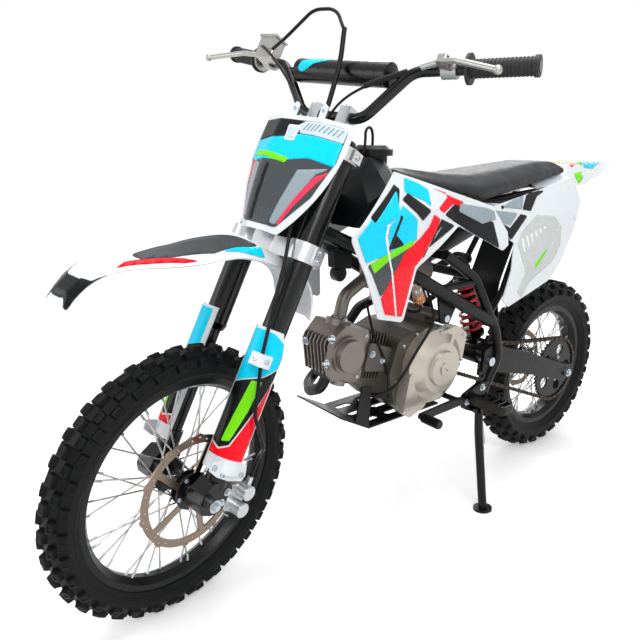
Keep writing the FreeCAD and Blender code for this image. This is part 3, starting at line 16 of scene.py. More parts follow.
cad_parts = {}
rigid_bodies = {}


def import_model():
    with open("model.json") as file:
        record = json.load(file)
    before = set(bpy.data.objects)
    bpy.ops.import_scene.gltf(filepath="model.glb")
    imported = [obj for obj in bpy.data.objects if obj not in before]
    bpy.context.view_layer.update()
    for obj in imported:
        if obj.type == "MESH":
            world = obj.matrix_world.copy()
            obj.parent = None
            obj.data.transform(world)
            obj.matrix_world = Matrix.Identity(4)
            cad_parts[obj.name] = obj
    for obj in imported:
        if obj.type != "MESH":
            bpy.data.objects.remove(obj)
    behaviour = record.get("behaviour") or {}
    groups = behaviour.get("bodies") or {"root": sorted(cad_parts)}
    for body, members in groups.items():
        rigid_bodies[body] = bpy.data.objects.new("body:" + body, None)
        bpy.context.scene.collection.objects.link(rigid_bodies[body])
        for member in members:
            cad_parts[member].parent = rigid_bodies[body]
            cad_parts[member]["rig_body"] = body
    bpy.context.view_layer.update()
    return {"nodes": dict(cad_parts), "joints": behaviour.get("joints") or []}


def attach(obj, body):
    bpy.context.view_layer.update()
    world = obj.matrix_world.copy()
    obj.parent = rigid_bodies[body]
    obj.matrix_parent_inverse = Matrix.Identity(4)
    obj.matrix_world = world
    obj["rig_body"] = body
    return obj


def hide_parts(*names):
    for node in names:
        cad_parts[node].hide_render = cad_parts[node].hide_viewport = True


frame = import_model()

MM = 0.001
RAKE = math.radians(26.5)
REAR_R = 267.0
FRONT_R = 287.0
SIDES = ((1, "left"), (-1, "right"))  # sign of Y, name

# Frames of construction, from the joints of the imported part

JOINTS = {j["name"]: j for j in frame["joints"]}
STEER_AXIS = Vector(JOINTS["steering_turn"]["axis"]).normalized()
LEFT = Vector(JOINTS["rear_wheel_spin"]["axis"]).normalized()
FORK_LEFT = Vector(JOINTS["front_wheel_spin"]["axis"]).normalized()
REAR_AXLE = Vector(JOINTS["rear_wheel_spin"]["pos_m"])
FRONT_AXLE = Vector(JOINTS["front_wheel_spin"]["pos_m"])


def body_of(node_name):
    return frame["nodes"][node_name]["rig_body"]


def placement(x, y, z, origin):
    """Matrix with these axes as its columns."""
    m = Matrix((x, y, z)).transposed().to_4x4()
    m.translation = origin
    return m


SQUARE = LEFT.cross(STEER_AXIS)
FORWARD = SQUARE * math.cos(RAKE) - STEER_AXIS * math.sin(RAKE)
UP = SQUARE * math.sin(RAKE) + STEER_AXIS * math.cos(RAKE)
BIKE = placement(FORWARD, LEFT, UP, REAR_AXLE - UP * REAR_R * MM)
FORK = placement(FORK_LEFT.cross(STEER_AXIS), FORK_LEFT, STEER_AXIS, FRONT_AXLE)
REAR_WHEEL = placement(FORWARD, LEFT, UP, REAR_AXLE)


def at(base, point):
    """A point given in millimetres in one of the frames, in the row frame."""
    return base @ (Vector(point) * MM)


def along(base, direction):
    return (base.to_3x3() @ Vector(direction)).normalized()


def seat_on(base, point, axis):
    """Placement whose Z runs along axis, for what is turned or pressed about it."""
    z = along(base, axis)
    x = z.orthogonal().normalized()
    return placement(x, z.cross(x), z, at(base, point))


# Materials


def linear(text):
    """Colour written as six hexadecimal digits, as the shader wants it."""
    out = []
    for i in (0, 2, 4):
        c = int(text[i:i + 2], 16) / 255
        out.append(c / 12.92 if c <= 0.04045 else ((c + 0.055) / 1.055) ** 2.4)
    return (*out, 1.0)


def shaded(colour, share):
    return (*[min(1.0, c * share) for c in colour[:3]], 1.0)


class Graph:
    """Shader nodes of a material or of the world."""

    def __init__(self, owner, shader):
        owner.use_nodes = True
        self.nodes, self.links = owner.node_tree.nodes, owner.node_tree.links
        self.shader = self.nodes[shader]

    def feed(self, node, inputs):
        """Sets inputs of a node, each to a value or to what another node puts out."""
        for key, value in inputs.items():
            if isinstance(value, bpy.types.NodeSocket):
                self.links.new(value, node.inputs[key])
            else:
                node.inputs[key].default_value = value

    def add(self, kind, output, inputs=None, **settings):
        """Adds a node and gives back one of its outputs."""
        node = self.nodes.new("ShaderNode" + kind)
        for key, value in settings.items():
            setattr(node, key, value)
        self.feed(node, inputs or {})
        return node.outputs[output]

    def shade(self, inputs):
        self.feed(self.shader, inputs)

    def noise(self, scale, detail=4.0):
        place = self.add("TexCoord", "Object")
        return self.add("TexNoise", "Fac", {"Scale": scale, "Detail": detail, "Vector": place})

    def spread(self, value, low, high):
        """Maps noise, which lies mostly from 0.3 to 0.7, to the range from low to high."""
        limits = {"From Min": 0.3, "From Max": 0.7, "To Min": low, "To Max": high}
        return self.add("MapRange", "Result", {**limits, "Value": value})

    def two_tones(self, factor, first, second):
        return self.add("Mix", "Result", {"A": first, "B": second, "Factor": factor}, data_type="RGBA")

    def relief(self, value, depth):
        """Bumps of this depth in millimetres."""
        return self.add("Bump", "Normal", {"Strength": 1.0, "Distance": depth * MM, "Height": value})


def new_material(name):
    material = bpy.data.materials.new(name)
    return material, Graph(material, "Principled BSDF")


def finish(name, colour, rough, metal=0.0, mottle=0.08, patch=18.0, grain=900.0, depth=0.05, coat=0.0,
           gloss=0.5):
    """A surface with slow colour patches, uneven roughness and a fine grain of this depth in millimetres."""
    material, graph = new_material(name)
    tone = linear(colour)
    patches, uneven, fine = graph.noise(patch), graph.noise(patch * 6), graph.noise(grain, 2.0)
    graph.shade({
        "Base Color": graph.two_tones(patches, shaded(tone, 1 - mottle), shaded(tone, 1 + mottle)),
        "Roughness": graph.spread(uneven, max(0.02, rough - 0.05), min(1.0, rough + 0.07)),
        "Normal": graph.relief(fine, depth),
        "Metallic": metal,
        "Coat Weight": coat,
        "Coat Roughness": 0.08,
        "Specular IOR Level": gloss,
    })
    return material


def two_part(name, base, radius, inner, outer):
    """Two finishes on one turned piece, split at a distance in millimetres from a frame's Y axis.

    Each finish is a colour, a roughness and a metal share.
    """
    material, graph = new_material(name)
    place = graph.add("TexCoord", "Object")
    offset = graph.add("VectorMath", "Vector", {0: place, 1: base.translation}, operation="SUBTRACT")
    axis = base.col[1].to_3d()
    square = graph.add("VectorMath", "Vector", {0: offset, 1: axis}, operation="CROSS_PRODUCT")
    distance = graph.add("VectorMath", "Value", {0: square}, operation="LENGTH")
    mask = graph.add("Math", "Value", {0: distance, 1: radius * MM}, operation="GREATER_THAN")
    rough, metal = (
        graph.add("MapRange", "Result", {"To Min": low, "To Max": high, "Value": mask})
        for low, high in zip(inner[1:], outer[1:])
    )
    out = graph.add("CombineXYZ", "Vector", {"X": distance})
    rings = graph.add("TexWave", "Fac", {"Scale": 260.0, "Distortion": 1.0, "Vector": out})
    graph.shade({
        "Base Color": graph.two_tones(mask, linear(inner[0]), linear(outer[0])),
        "Roughness": rough,
        "Metallic": metal,
        "Normal": graph.relief(rings, 0.03),
    })
    return material


def dimpled(name, colour, rough, cell, depth):
    """Embossed vinyl or moulded rubber: small cells pressed into the surface."""
    material, graph = new_material(name)
    tone = linear(colour)
    place = graph.add("TexCoord", "Object")
    cells = graph.add("TexVoronoi", "Distance", {"Scale": 1 / (cell * MM), "Vector": place})
    graph.shade({
        "Base Color": graph.two_tones(graph.noise(9.0), shaded(tone, 0.85), shaded(tone, 1.15)),
        "Roughness": graph.spread(graph.noise(60.0), rough - 0.05, rough + 0.05),
        "Normal": graph.relief(cells, depth),
    })
    return material


def clear_plastic(name, colour):
    material, graph = new_material(name)
    tone = linear(colour)
    graph.shade({
        "Base Color": graph.two_tones(graph.noise(40.0), tone, shaded(tone, 0.8)),
        "Roughness": 0.1,
        "Transmission Weight": 0.75,
    })
    return material


RUBBER = finish("tyre_rubber", "040506", 0.5, mottle=0.25, patch=26, grain=1400, depth=0.1, gloss=0.16)
KNOB_TOP = finish("knob_top", "262422", 0.75, mottle=0.45, patch=60, grain=1200, depth=0.15, gloss=0.14)
HOSE = finish("hose_rubber", "08090a", 0.4, mottle=0.1, depth=0.03, gloss=0.2)
WHITE = finish("white_plastic", "dfe4e8", 0.3, mottle=0.004, patch=3, grain=500, depth=0.006, coat=0.1)
BLACK_PLASTIC = finish("black_plastic", "0a0c0e", 0.38, mottle=0.15, patch=14, grain=1100, gloss=0.2)
FRAME_PAINT = finish("frame_paint", "07080a", 0.34, mottle=0.12, patch=20, grain=420, depth=0.04, gloss=0.22)
RIM_PAINT = finish("rim_black", "050607", 0.3, mottle=0.1, depth=0.02, gloss=0.25)
FORK_BLACK = finish("fork_black", "040505", 0.2, mottle=0.1, depth=0.015, gloss=0.35)
CASTING = {"metal": 0.7, "gloss": 0.3}
CAST = finish("cast_alloy", "7d7670", 0.42, mottle=0.14, patch=34, grain=700, depth=0.12, **CASTING)
DARK_CAST = finish("dark_cast", "5a5550", 0.45, mottle=0.16, patch=34, grain=700, depth=0.12, **CASTING)
COVER_CAST = finish("cover_alloy", "b3aca2", 0.34, mottle=0.05, patch=16, grain=800, depth=0.07, **CASTING)
SILVER = finish("machined_silver", "c3c6c8", 0.3, metal=0.85, mottle=0.05, grain=600, depth=0.03)
LEVER = finish("lever_alloy", "a9a7a2", 0.34, metal=0.85, grain=600, depth=0.03)
ZINC = finish("zinc_steel", "b4bac0", 0.3, metal=1.0, mottle=0.1, patch=60, depth=0.03)
STEEL = finish("steel_dark", "2a2928", 0.4, metal=0.9, mottle=0.2, patch=60)
CHAIN_STEEL = finish("chain_steel", "40362f", 0.45, metal=0.8, mottle=0.35, patch=90)
HEADER = finish("header_steel", "0d0c0c", 0.45, metal=0.3, mottle=0.3, patch=26, grain=600, depth=0.06)
SPRING_RED = finish("spring_red", "b80c16", 0.34, mottle=0.1, grain=500, depth=0.04, coat=0.2)
PAD_VINYL = finish("pad_vinyl", "050607", 0.25, mottle=0.1, patch=12, grain=300, depth=0.1, gloss=0.3)
GRIP = dimpled("grip_rubber", "08090a", 0.6, 1.6, 0.12)
SEAT = dimpled("seat_vinyl", "121518", 0.55, 1.1, 0.14)
HUB_R = 42.0  # black inside, bright spokes outside
CARRIER_R = 39.5  # black inside, brown disc outside
WHEEL_FRAMES = (("front", FORK), ("rear", REAR_WHEEL))
SPOKED = [two_part(f"hub_{name}", base, HUB_R, ("050607", 0.35, 0.2), ("b4b4b2", 0.24, 1.0))
          for name, base in WHEEL_FRAMES]
DISC = [two_part(f"disc_{name}", base, CARRIER_R, ("060708", 0.35, 0.3), ("86776b", 0.3, 1.0))
        for name, base in WHEEL_FRAMES]
FUEL = clear_plastic("fuel_amber", "f0a050")
FILTER_TOP = clear_plastic("filter_clear", "d8dde0")

VINYL_COLOURS = {
    "cyan": "06d2f6", "red": "f4061f", "pink": "fb3c5c", "lime": "76de10", "black": "101114",
    "charcoal": "474a4d", "grey": "93a0a8", "pale": "c6cac8", "mist": "c9d9e2", "white": "f1f4f6",
}
SHEET = {"mottle": 0.03, "patch": 10, "grain": 300, "depth": 0.01, "gloss": 0.16}
VINYL = {name: finish(f"vinyl_{name}", colour, 0.25, **SHEET) for name, colour in VINYL_COLOURS.items()}

FINISHES = [  # finish, nodes that have it
    (FRAME_PAINT, ["frame_backbone", "frame_sides", "subframe", "swingarm", "skid_plate", "shift_lever",
                   "brake_pedal", "side_stand", "rear_sprocket"]),
    (WHITE, ["fork_guards", "front_plate", "front_fender", "shrouds", "side_plates", "rear_fender"]),
    (BLACK_PLASTIC, ["fuel_tank", "tank_cap", "inner_fender"]),
    (RIM_PAINT, ["front_rim", "rear_rim"]),
    (RUBBER, ["front_tyre", "rear_tyre"]),
    (FORK_BLACK, ["fork_legs", "handlebar", "rear_shock"]),
    (ZINC, ["front_axle", "rear_axle", "frame_bolts", "kick_starter"]),
    (STEEL, ["drive_sprocket", "footpegs"]),
    (SILVER, ["triple_clamps", "front_caliper"]),
    (LEVER, ["clutch_lever", "brake_lever"]),
    (CAST, ["cylinder_head", "carburettor", "rear_brake"]),
    (DARK_CAST, ["crankcase", "cylinder"]),
    (COVER_CAST, ["engine_covers"]),
    (HEADER, ["exhaust"]),
    (CHAIN_STEEL, ["chain"]),
    (SPRING_RED, ["shock_spring"]),
    (HOSE, ["brake_hose"]),
    (GRIP, ["grips"]),
    (SEAT, ["seat"]),
    (PAD_VINYL, ["bar_pad"]),
    (SPOKED[0], ["front_hub"]),
    (SPOKED[1], ["rear_hub"]),
    (DISC[0], ["front_disc"]),
    (DISC[1], ["rear_disc"]),
]
for material, node_names in FINISHES:
    for node_name in node_names:
        materials = frame["nodes"][node_name].data.materials
        materials.clear()
        materials.append(material)


# Mesh building


def add_object(name, data):
    made = bpy.data.objects.new(name, data)
    bpy.context.scene.collection.objects.link(made)
    return made


def smooth_faces(mesh):
    for face in mesh.polygons:
        face.use_smooth = True


class Shape:
    """Gathers the faces of one piece."""

    def __init__(self):
        self.bm = bmesh.new()

    def loops(self, rings, closed=False):
        """Skins a list of rings of points that have the same count."""
        rows = [[self.bm.verts.new(p) for p in ring] for ring in rings]
        count = len(rows[0])
        pairs = list(zip(rows, rows[1:])) + ([(rows[-1], rows[0])] if closed else [])
        for a, b in pairs:
            for i in range(count):
                j = (i + 1) % count
                self.bm.faces.new((a[i], a[j], b[j], b[i]))
        if not closed:
            self.bm.faces.new(list(reversed(rows[0])))
            self.bm.faces.new(rows[-1])

    def turned(self, seat, profile, sides, closed=False):
        """A turned piece about the Z axis of its placement, from (radius, height) in millimetres."""
        rings = []
        for r, h in profile:
            ring = []
            for i in range(sides):
                a = 2 * math.pi * i / sides
                ring.append(seat @ (Vector((r * math.cos(a), r * math.sin(a), h)) * MM))
            rings.append(ring)
        self.loops(rings, closed=closed)

    def bolt(self, seat, r, h):
        """Hexagon head on a washer."""
        self.turned(seat, [(r * 1.45, -1.0), (r * 1.45, 0.7), (r * 1.2, 0.9), (0.2, 0.9)], 20)
        self.turned(seat, [(r, 0.5), (r, h - 0.6), (r * 0.9, h), (0.2, h)], 6)

    def cap_screw(self, seat, r, h):
        """Round head with a hexagon socket."""
        profile = [(r, -1.0), (r, h - 0.6), (r - 0.6, h), (r * 0.55, h), (r * 0.5, h - 1.6), (0.1, h - 1.6)]
        self.turned(seat, profile, 18)

    def acorn(self, seat, r, h):
        """Domed nut on a washer."""
        self.turned(seat, [(r * 1.5, -1.0), (r * 1.5, 1.2), (0.2, 1.2)], 24)
        self.turned(seat, [(r, 1.0), (r, h * 0.5), (r * 0.86, h * 0.58), (0.2, h * 0.58)], 6)
        self.turned(seat, [(r * 0.8, h * 0.5), (r * 0.74, h * 0.8), (r * 0.45, h * 0.96), (0.2, h)], 18)

    def disc(self, seat, r, h):
        """Plain round face with a rounded edge."""
        self.turned(seat, [(r, -1.0), (r, h * 0.7), (r - 0.6, h), (0.2, h)], 32)

    def piece(self, name, material, body, slot, smooth=35.0):
        """Turns the faces into a piece that rides on a body."""
        bmesh.ops.recalc_face_normals(self.bm, faces=self.bm.faces[:])
        mesh = bpy.data.meshes.new(name)
        self.bm.to_mesh(mesh)
        self.bm.free()
        made = add_object(name, mesh)
        mesh.materials.append(material)
        smooth_faces(mesh)
        mesh.set_sharp_from_angle(angle=math.radians(smooth))
        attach(made, body)
        return made


def rounded(points, radius):
    """A closed outline in a plane, with each corner drawn as an arc."""
    steps = 4
    out = []
    count = len(points)
    for i, point in enumerate(points):
        p = Vector(point)
        a = Vector(points[i - 1]) - p
        b = Vector(points[(i + 1) % count]) - p
        half = a.angle(b) / 2
        cut = min(radius / math.tan(half), 0.45 * min(a.length, b.length))
        start, end = p + a.normalized() * cut, p + b.normalized() * cut
        for k in range(steps + 1):
            t = k / steps
            out.append(start * (1 - t) ** 2 + p * 2 * t * (1 - t) + end * t ** 2)
    return out


def cable(name, base, points, r, material, body):
    """A cable or hose along a smooth line through given points."""
    curve = bpy.data.curves.new(name, "CURVE")
    curve.dimensions = "3D"
    curve.bevel_depth = r * MM
    curve.bevel_resolution = 4
    curve.resolution_u = 10
    curve.use_fill_caps = True
    line = curve.splines.new("NURBS")
    line.points.add(len(points) - 1)
    for knot, point in zip(line.points, points):
        knot.co = (*at(base, point), 1.0)
    line.order_u = 3
    line.use_endpoint_u = True
    made = add_object(name, curve)
    curve.materials.append(material)
    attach(made, body)


# Graphics: thin vinyl sheets laid on the panels


SURFACES = {}


def surface(node_name):
    """Search tree of a node's surface, in the row frame."""
    if node_name not in SURFACES:
        mesh = frame["nodes"][node_name].data
        mesh.calc_loop_triangles()
        corners = [v.co for v in mesh.vertices]
        SURFACES[node_name] = BVHTree.FromPolygons(corners, [t.vertices for t in mesh.loop_triangles])
    return SURFACES[node_name]


RAY_START = {"side": 400, "above": 1100, "ahead": 300, "over": 700, "leg": 90}  # outside the panels


def from_side(sign):
    """Rays for (x, z) of the bike frame, from its left or right."""
    return lambda x, z: (at(BIKE, (x, sign * RAY_START["side"], z)), along(BIKE, (0, -sign, 0)))


def from_above(x, y):
    return at(BIKE, (x, y, RAY_START["above"])), along(BIKE, (0, 0, -1))


def from_front(y, w):
    return at(FORK, (RAY_START["ahead"], y, w)), along(FORK, (-1, 0, 0))


def over_fork(sign):
    """Rays for (u, y) of the fork frame, down the steering axis."""
    return lambda u, y: (at(FORK, (u, sign * y, RAY_START["over"])), along(FORK, (0, 0, -1)))


LEG_U, LEG_Y = -15.0, 82.0


def round_leg(sign):
    """Rays for (angle from straight ahead in degrees, w), towards the axis of a fork leg."""

    def ray(angle, w):
        a = math.radians(angle)
        out_u, out_y = RAY_START["leg"] * math.cos(a), RAY_START["leg"] * math.sin(a)
        far = (LEG_U + out_u, sign * (LEG_Y + out_y), w)
        return at(FORK, far), along(FORK, (-math.cos(a), -sign * math.sin(a), 0))

    return ray


VINYL_T = 0.35  # a sheet's thickness
LAYER_STEP = 0.5  # height of each layer over the one below it
GRID = 5.0  # side of the squares that a sheet is cut into, so that it follows a curved panel
PULL_TRIES = 16
PULL = 0.015  # share of the way to its centre that a corner beside the panel is drawn in by, at each try
REACH = 0.3  # metres along a ray to look for the nearest surface from, where every try misses


def split(bm, point, direction, trim=False):
    """Cuts a flat mesh along a line, and drops what lies behind it where trim is set."""
    geometry = bm.verts[:] + bm.edges[:] + bm.faces[:]
    bmesh.ops.bisect_plane(bm, geom=geometry, plane_co=point, plane_no=direction, clear_inner=trim)


def decal(name, node_name, ray, outline, colour, layer=1, radius=4.0, keep=None):
    """Lays a sheet of vinyl, cut to an outline, on a node's surface along a family of rays.

    keep is a corner and a direction in the outline's plane: what lies behind it is trimmed.
    """
    tree = surface(node_name)
    border = rounded(outline, radius)
    bm = bmesh.new()
    bm.faces.new([bm.verts.new((*p, 0)) for p in border])
    if keep:
        split(bm, Vector((*keep[0], 0)), Vector((*keep[1], 0)), trim=True)
    for axis in (0, 1):
        values = [p[axis] for p in border]
        direction = Vector((1, 0, 0)) if axis == 0 else Vector((0, 1, 0))
        for k in range(math.ceil(min(values) / GRID), math.ceil(max(values) / GRID)):
            split(bm, direction * k * GRID, direction)
    bmesh.ops.triangulate(bm, faces=bm.faces[:])
    centre = sum((v.co for v in bm.verts), Vector()) / len(bm.verts)
    lift = LAYER_STEP * layer
    for vert in bm.verts:
        for k in range(PULL_TRIES):
            p = vert.co.lerp(centre, PULL * k)
            origin, direction = ray(p.x, p.y)
            hit, normal, _, _ = tree.ray_cast(origin, direction)
            if hit:
                break
        if hit is None:
            hit, normal, _, _ = tree.find_nearest(origin + direction * REACH)
        if normal.dot(direction) > 0:
            normal = -normal
        vert.co = hit + normal * lift * MM
    mesh = bpy.data.meshes.new(name)
    bm.to_mesh(mesh)
    bm.free()
    made = add_object(name, mesh)
    mesh.materials.append(VINYL[colour])
    smooth_faces(mesh)
    thick = made.modifiers.new("thickness", "SOLIDIFY")
    thick.thickness = VINYL_T * MM
    thick.offset = -1
    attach(made, body_of(node_name))


def sheets(node_name, rays, groups):
    """Lays tables of graphics on both sides of a node."""
    for sign, side in SIDES:
        for group, table in groups.items():
            for name, colour, layer, outline in table:
                decal(f"{group}_{name}_{side}", node_name, rays(sign), outline, colour, layer)


# Side graphics: (x, z) outlines in the bike frame
SHROUD_GRAPHICS = [  # name, colour, layer, outline
    ("wedge", "black", 1, [(902, 806), (803, 862), (789, 852), (806, 824), (884, 782)]),
    ("cyan", "cyan", 2, [(801, 851), (811, 806), (856, 787), (861, 764), (848, 731), (917, 720), (942, 771),
        (900, 803), (892, 794)]),
    ("cyan_rear", "cyan", 2, [(796, 821), (757, 790), (761, 750), (840, 730), (852, 762), (847, 784)]),
    ("edge", "black", 3, [(812, 804), (806, 800), (848, 734), (854, 738)]),
    ("shade", "black", 3, [(846, 738), (800, 742), (830, 768)]),
    ("lime", "lime", 3, [(905, 716), (893, 696), (846, 718), (778, 738), (768, 752), (836, 736)]),
    ("band", "charcoal", 2, [(912, 714), (780, 745), (822, 690), (862, 642)]),
    ("red", "red", 3, [(860, 638), (838, 599), (777, 582), (766, 694), (742, 712), (690, 762), (672, 784),
        (694, 796), (716, 772), (752, 750), (800, 728), (830, 692)]),
    ("fold", "white", 4, [(856, 790), (849, 788), (857, 764), (843, 706), (794, 582), (799, 582), (848, 705),
        (863, 764)]),
    ("vent", "black", 2, [(792, 832), (768, 843), (704, 804), (738, 786)]),
    ("corner", "black", 2, [(668, 784), (620, 766), (738, 722), (742, 706), (690, 762)]),
    ("corner_light", "grey", 3, [(664, 772), (704, 742), (716, 728), (690, 758)]),
]
STRIP_GRAPHICS = [
    ("blue", "cyan", 1, [(764, 874), (728, 862), (698, 848), (700, 812), (718, 824), (776, 846)]),
    ("red", "red", 1, [(690, 852), (578, 814), (592, 806), (616, 812), (656, 796), (676, 806), (634, 828),
        (640, 838)]),
    ("black", "black", 1, [(610, 812), (582, 803), (476, 762), (458, 700), (500, 712), (654, 792)]),
    ("light", "grey", 2, [(592, 812), (500, 797), (470, 788), (466, 768), (520, 762), (600, 795)]),
]
PLATE_GRAPHICS = [
    ("black", "black", 1, [(460, 768), (398, 742), (350, 772), (320, 766), (392, 716), (456, 698)]),
    ("light", "grey", 2, [(460, 788), (362, 775), (398, 748), (460, 764)]),
    ("wedge", "grey", 1, [(430, 793), (326, 822), (342, 783)]),
    ("band", "black", 1, [(304, 826), (224, 823), (268, 810), (304, 776), (340, 782), (318, 814)]),
    ("panel", "pale", 1, [(280, 766), (196, 756), (160, 726), (170, 684), (210, 648), (318, 600), (346, 562),
        (368, 580), (342, 624), (372, 700), (350, 730)]),
]
DASH = [(300, 632), (246, 668), (244, 678), (302, 644)]
HATCH = 7  # slanted white lines on the pale panel
HATCH_X, HATCH_STEP = 350, 20
CAN_LINE = ((392.0, 690.0), (50.0, 800.0))  # top of the room left for the silencer, on the right panel
CAN_GAP = 4

sheets("shrouds", from_side, {"shroud": SHROUD_GRAPHICS, "strip": STRIP_GRAPHICS})

for sign, side in SIDES:
    trim = None
    if sign < 0:
        a, b = Vector(CAN_LINE[0]), Vector(CAN_LINE[1])
        run = (b - a).normalized()
        trim = (a + Vector((0, CAN_GAP)), Vector((run.y, -run.x)))
    for name, colour, layer, outline in PLATE_GRAPHICS:
        if sign < 0 and name == "panel":
            continue
        decal(f"plate_{name}_{side}", "side_plates", from_side(sign), outline, colour, layer, keep=trim)
decal("plate_dash_left", "side_plates", from_side(1), DASH, "lime", 2)
for i in range(HATCH):
    x = HATCH_X - HATCH_STEP * i
    outline = [(x + 4, 712 + 4 * i), (x - 4, 714 + 4 * i), (x - 10, 680 + 10 * i), (x - 4, 676 + 10 * i)]
    decal(f"plate_hatch_{i}_left", "side_plates", from_side(1), outline, "white", 2, radius=1.5)

# Front plate: (y, w) outlines in the fork frame
FRONT_GRAPHICS = [
    ("ground", "charcoal", 1, [(-111, 758), (111, 758), (111, 690), (89, 612), (44, 536), (-44, 536),
        (-89, 612), (-111, 690)]),
    ("black", "black", 2, [(-110, 757), (10, 757), (-2, 748), (-20, 722), (-110, 712)]),
    ("hatch_ground", "mist", 2, [(16, 757), (110, 757), (110, 728), (14, 730), (-2, 745)]),
    ("blue", "cyan", 2, [(-110, 710), (-40, 716), (14, 728), (110, 727), (110, 680), (64, 682), (-4, 668),
        (-110, 664)]),
    ("lime", "lime", 3, [(-100, 690), (-96, 676), (10, 664), (14, 676)]),
    ("badge", "white", 3, [(-26, 746), (8, 746), (6, 712), (-20, 712)]),
    ("badge_inner", "mist", 4, [(-21, 742), (4, 742), (2, 717), (-16, 717)]),
    ("wedge_left", "grey", 2, [(50, 655), (106, 676), (84, 657), (62, 600), (42, 542), (30, 542)]),
    ("wedge_right", "grey", 2, [(-98, 668), (-62, 656), (-40, 540), (-46, 542), (-80, 606)]),
    ("stripe", "black", 2, [(-40, 660), (-30, 660), (-14, 540), (-24, 540)]),
    ("red_left", "pink", 2, [(108, 672), (90, 640), (64, 586), (48, 542), (44, 544), (60, 600), (84, 652)]),
    ("red_right", "red", 2, [(-108, 676), (-88, 664), (-90, 648), (-52, 542), (-48, 542), (-84, 612),
        (-108, 672)]),
]
for name, colour, layer, outline in FRONT_GRAPHICS:
    radius = 14.0 if name == "ground" else 4.0
    decal(f"front_{name}", "front_plate", from_front, outline, colour, layer, radius=radius)
FRONT_HATCH = 9  # slanted lines at the plate's top
for i in range(FRONT_HATCH):
    y = 24 + 9.5 * i
    outline = [(y, 753), (y + 3, 753), (y - 4, 738), (y - 7, 738)]
    decal(f"front_hatch_{i}", "front_plate", from_front, outline, "grey", 3, radius=0.8)

# Front fender: (u, y) outlines over the fork frame
FENDER_GRAPHICS = [
    ("band", "charcoal", 1, [(55, 31), (120, 33), (191, 36), (262, 37), (322, 32), (306, 46), (262, 56),
        (183, 62), (100, 46)]),
    ("blue", "cyan", 2, [(54, 32), (47, 48), (100, 55), (178, 62), (100, 45)]),
    ("red", "red", 1, [(344, 41), (300, 55), (240, 68), (212, 70), (240, 61), (300, 47), (330, 38)]),
]
FENDER_TIP = [
    (393, -28), (395, -10), (395, 10), (393, 28), (384, 42), (362, 50), (352, 46), (370, 36),
    (379, 18), (379, -18), (370, -36), (352, -46), (362, -50), (384, -42),
]
sheets("front_fender", over_fork, {"fender": FENDER_GRAPHICS})
decal("fender_tip", "front_fender", over_fork(1), FENDER_TIP, "black", 2, radius=3.0)

# Tail: (x, y) outlines over the bike frame
TAIL_GRAPHICS = [
    ("red", "red", 1, [(16, 3), (-14, 3), (-16, 44), (12, 48)]),
    ("lime", "lime", 1, [(-20, 3), (-54, 3), (-56, 44), (-22, 42)]),
    ("lime_side", "lime", 1, [(4, 54), (-40, 50), (-44, 57), (-12, 64)]),
    ("blue", "cyan", 1, [(-62, 3), (-60, 46), (-120, 40), (-186, 24), (-234, 8), (-234, 3)]),
]
for sign, side in SIDES:
    for name, colour, layer, outline in TAIL_GRAPHICS:
        mirrored_outline = [(x, sign * y) for x, y in outline]
        decal(f"tail_{name}_{side}", "rear_fender", from_above, mirrored_outline, colour, layer)

# Fork guards: (angle, w) outlines round each leg
GUARD_GRAPHICS = [
    ("blue", "cyan", 1, [(-26, 346), (50, 346), (90, 332), (104, 304), (104, 286), (60, 262), (-26, 236)]),
    ("black", "black", 1, [(-26, 233), (60, 259), (104, 282), (104, 262), (72, 190), (38, 118), (12, 108),
        (-26, 116)]),
    ("red", "red", 1, [(-26, 92), (-26, 112), (12, 104), (42, 116), (76, 190), (104, 258), (104, 92)]),
    ("lime", "lime", 2, [(32, 248), (64, 252), (56, 190), (36, 126), (10, 120), (20, 180)]),
]
sheets("fork_guards", round_leg, {"guard": GUARD_GRAPHICS})


# Tyres

LUG_H = 11.0
LUG_TAPER = 0.8
HEEL_GAP = 4.3  # from the rim's edge to the bead's face
TYRES = [  # node, frame, outer radius, width, bead radius, rim width, lugs, phase
    ("front_tyre", FORK, FRONT_R, 78.0, 217.0, 44.0, 34, 26.5),
    ("rear_tyre", REAR_WHEEL, REAR_R, 100.0, 181.0, 58.0, 30, 0.0),
]
KNOB_RINGS = [(0.60, 0.90), (0.86, 0.66), (1.0, 0.28)]  # shares of the carcass height and half width
ROW_H = (0.65, 0.92, 1.0, 0.92, 0.65)
WALL = [  # the same shares for the rest of the carcass, from the rim out
    (0.14, 0.62), (0.2, 0.68), (0.24, 0.70), (0.3, 0.79),
    (0.34, 0.825), (0.36, 0.86), (0.38, 0.845), (0.5, 0.88),
]
WORN_DEPTH = 2.2  # the knobs' tops this near the outer radius have the paler finish


def knob(shape, corners, inside, height):
    """A tapered block on four corners, with rounded corners and a mark pressed into its top."""
    a, b, c, d = corners
    centre = (a + b + c + d) / 4
    normal = (b - a).cross(d - a).normalized()
    if normal.dot(centre - inside) < 0:
        normal = -normal
    levels = [  # height over the carcass, share of the base
        (-1.5, 1.0), (0.0, 0.98), (height - 1.4, LUG_TAPER + 0.03), (height - 0.4, LUG_TAPER - 0.01),
        (height, LUG_TAPER - 0.09), (height, 0.42), (height - 1.3, 0.36),
    ]
    near_corner = 0.8  # where each rounded corner starts, as a share of the half side
    plan = [
        (1, -near_corner), (1, near_corner), (near_corner, 1), (-near_corner, 1),
        (-1, near_corner), (-1, -near_corner), (-near_corner, -1), (near_corner, -1),
    ]
    rings = []
    for level, share in levels:
        ring = []
        for s, t in plan:
            near, far = a.lerp(b, (1 + s) / 2), d.lerp(c, (1 + s) / 2)
            p = near.lerp(far, (1 + t) / 2)
            ring.append(centre + (p - centre) * share + normal * level * MM)
        rings.append(ring)
    shape.loops(rings)


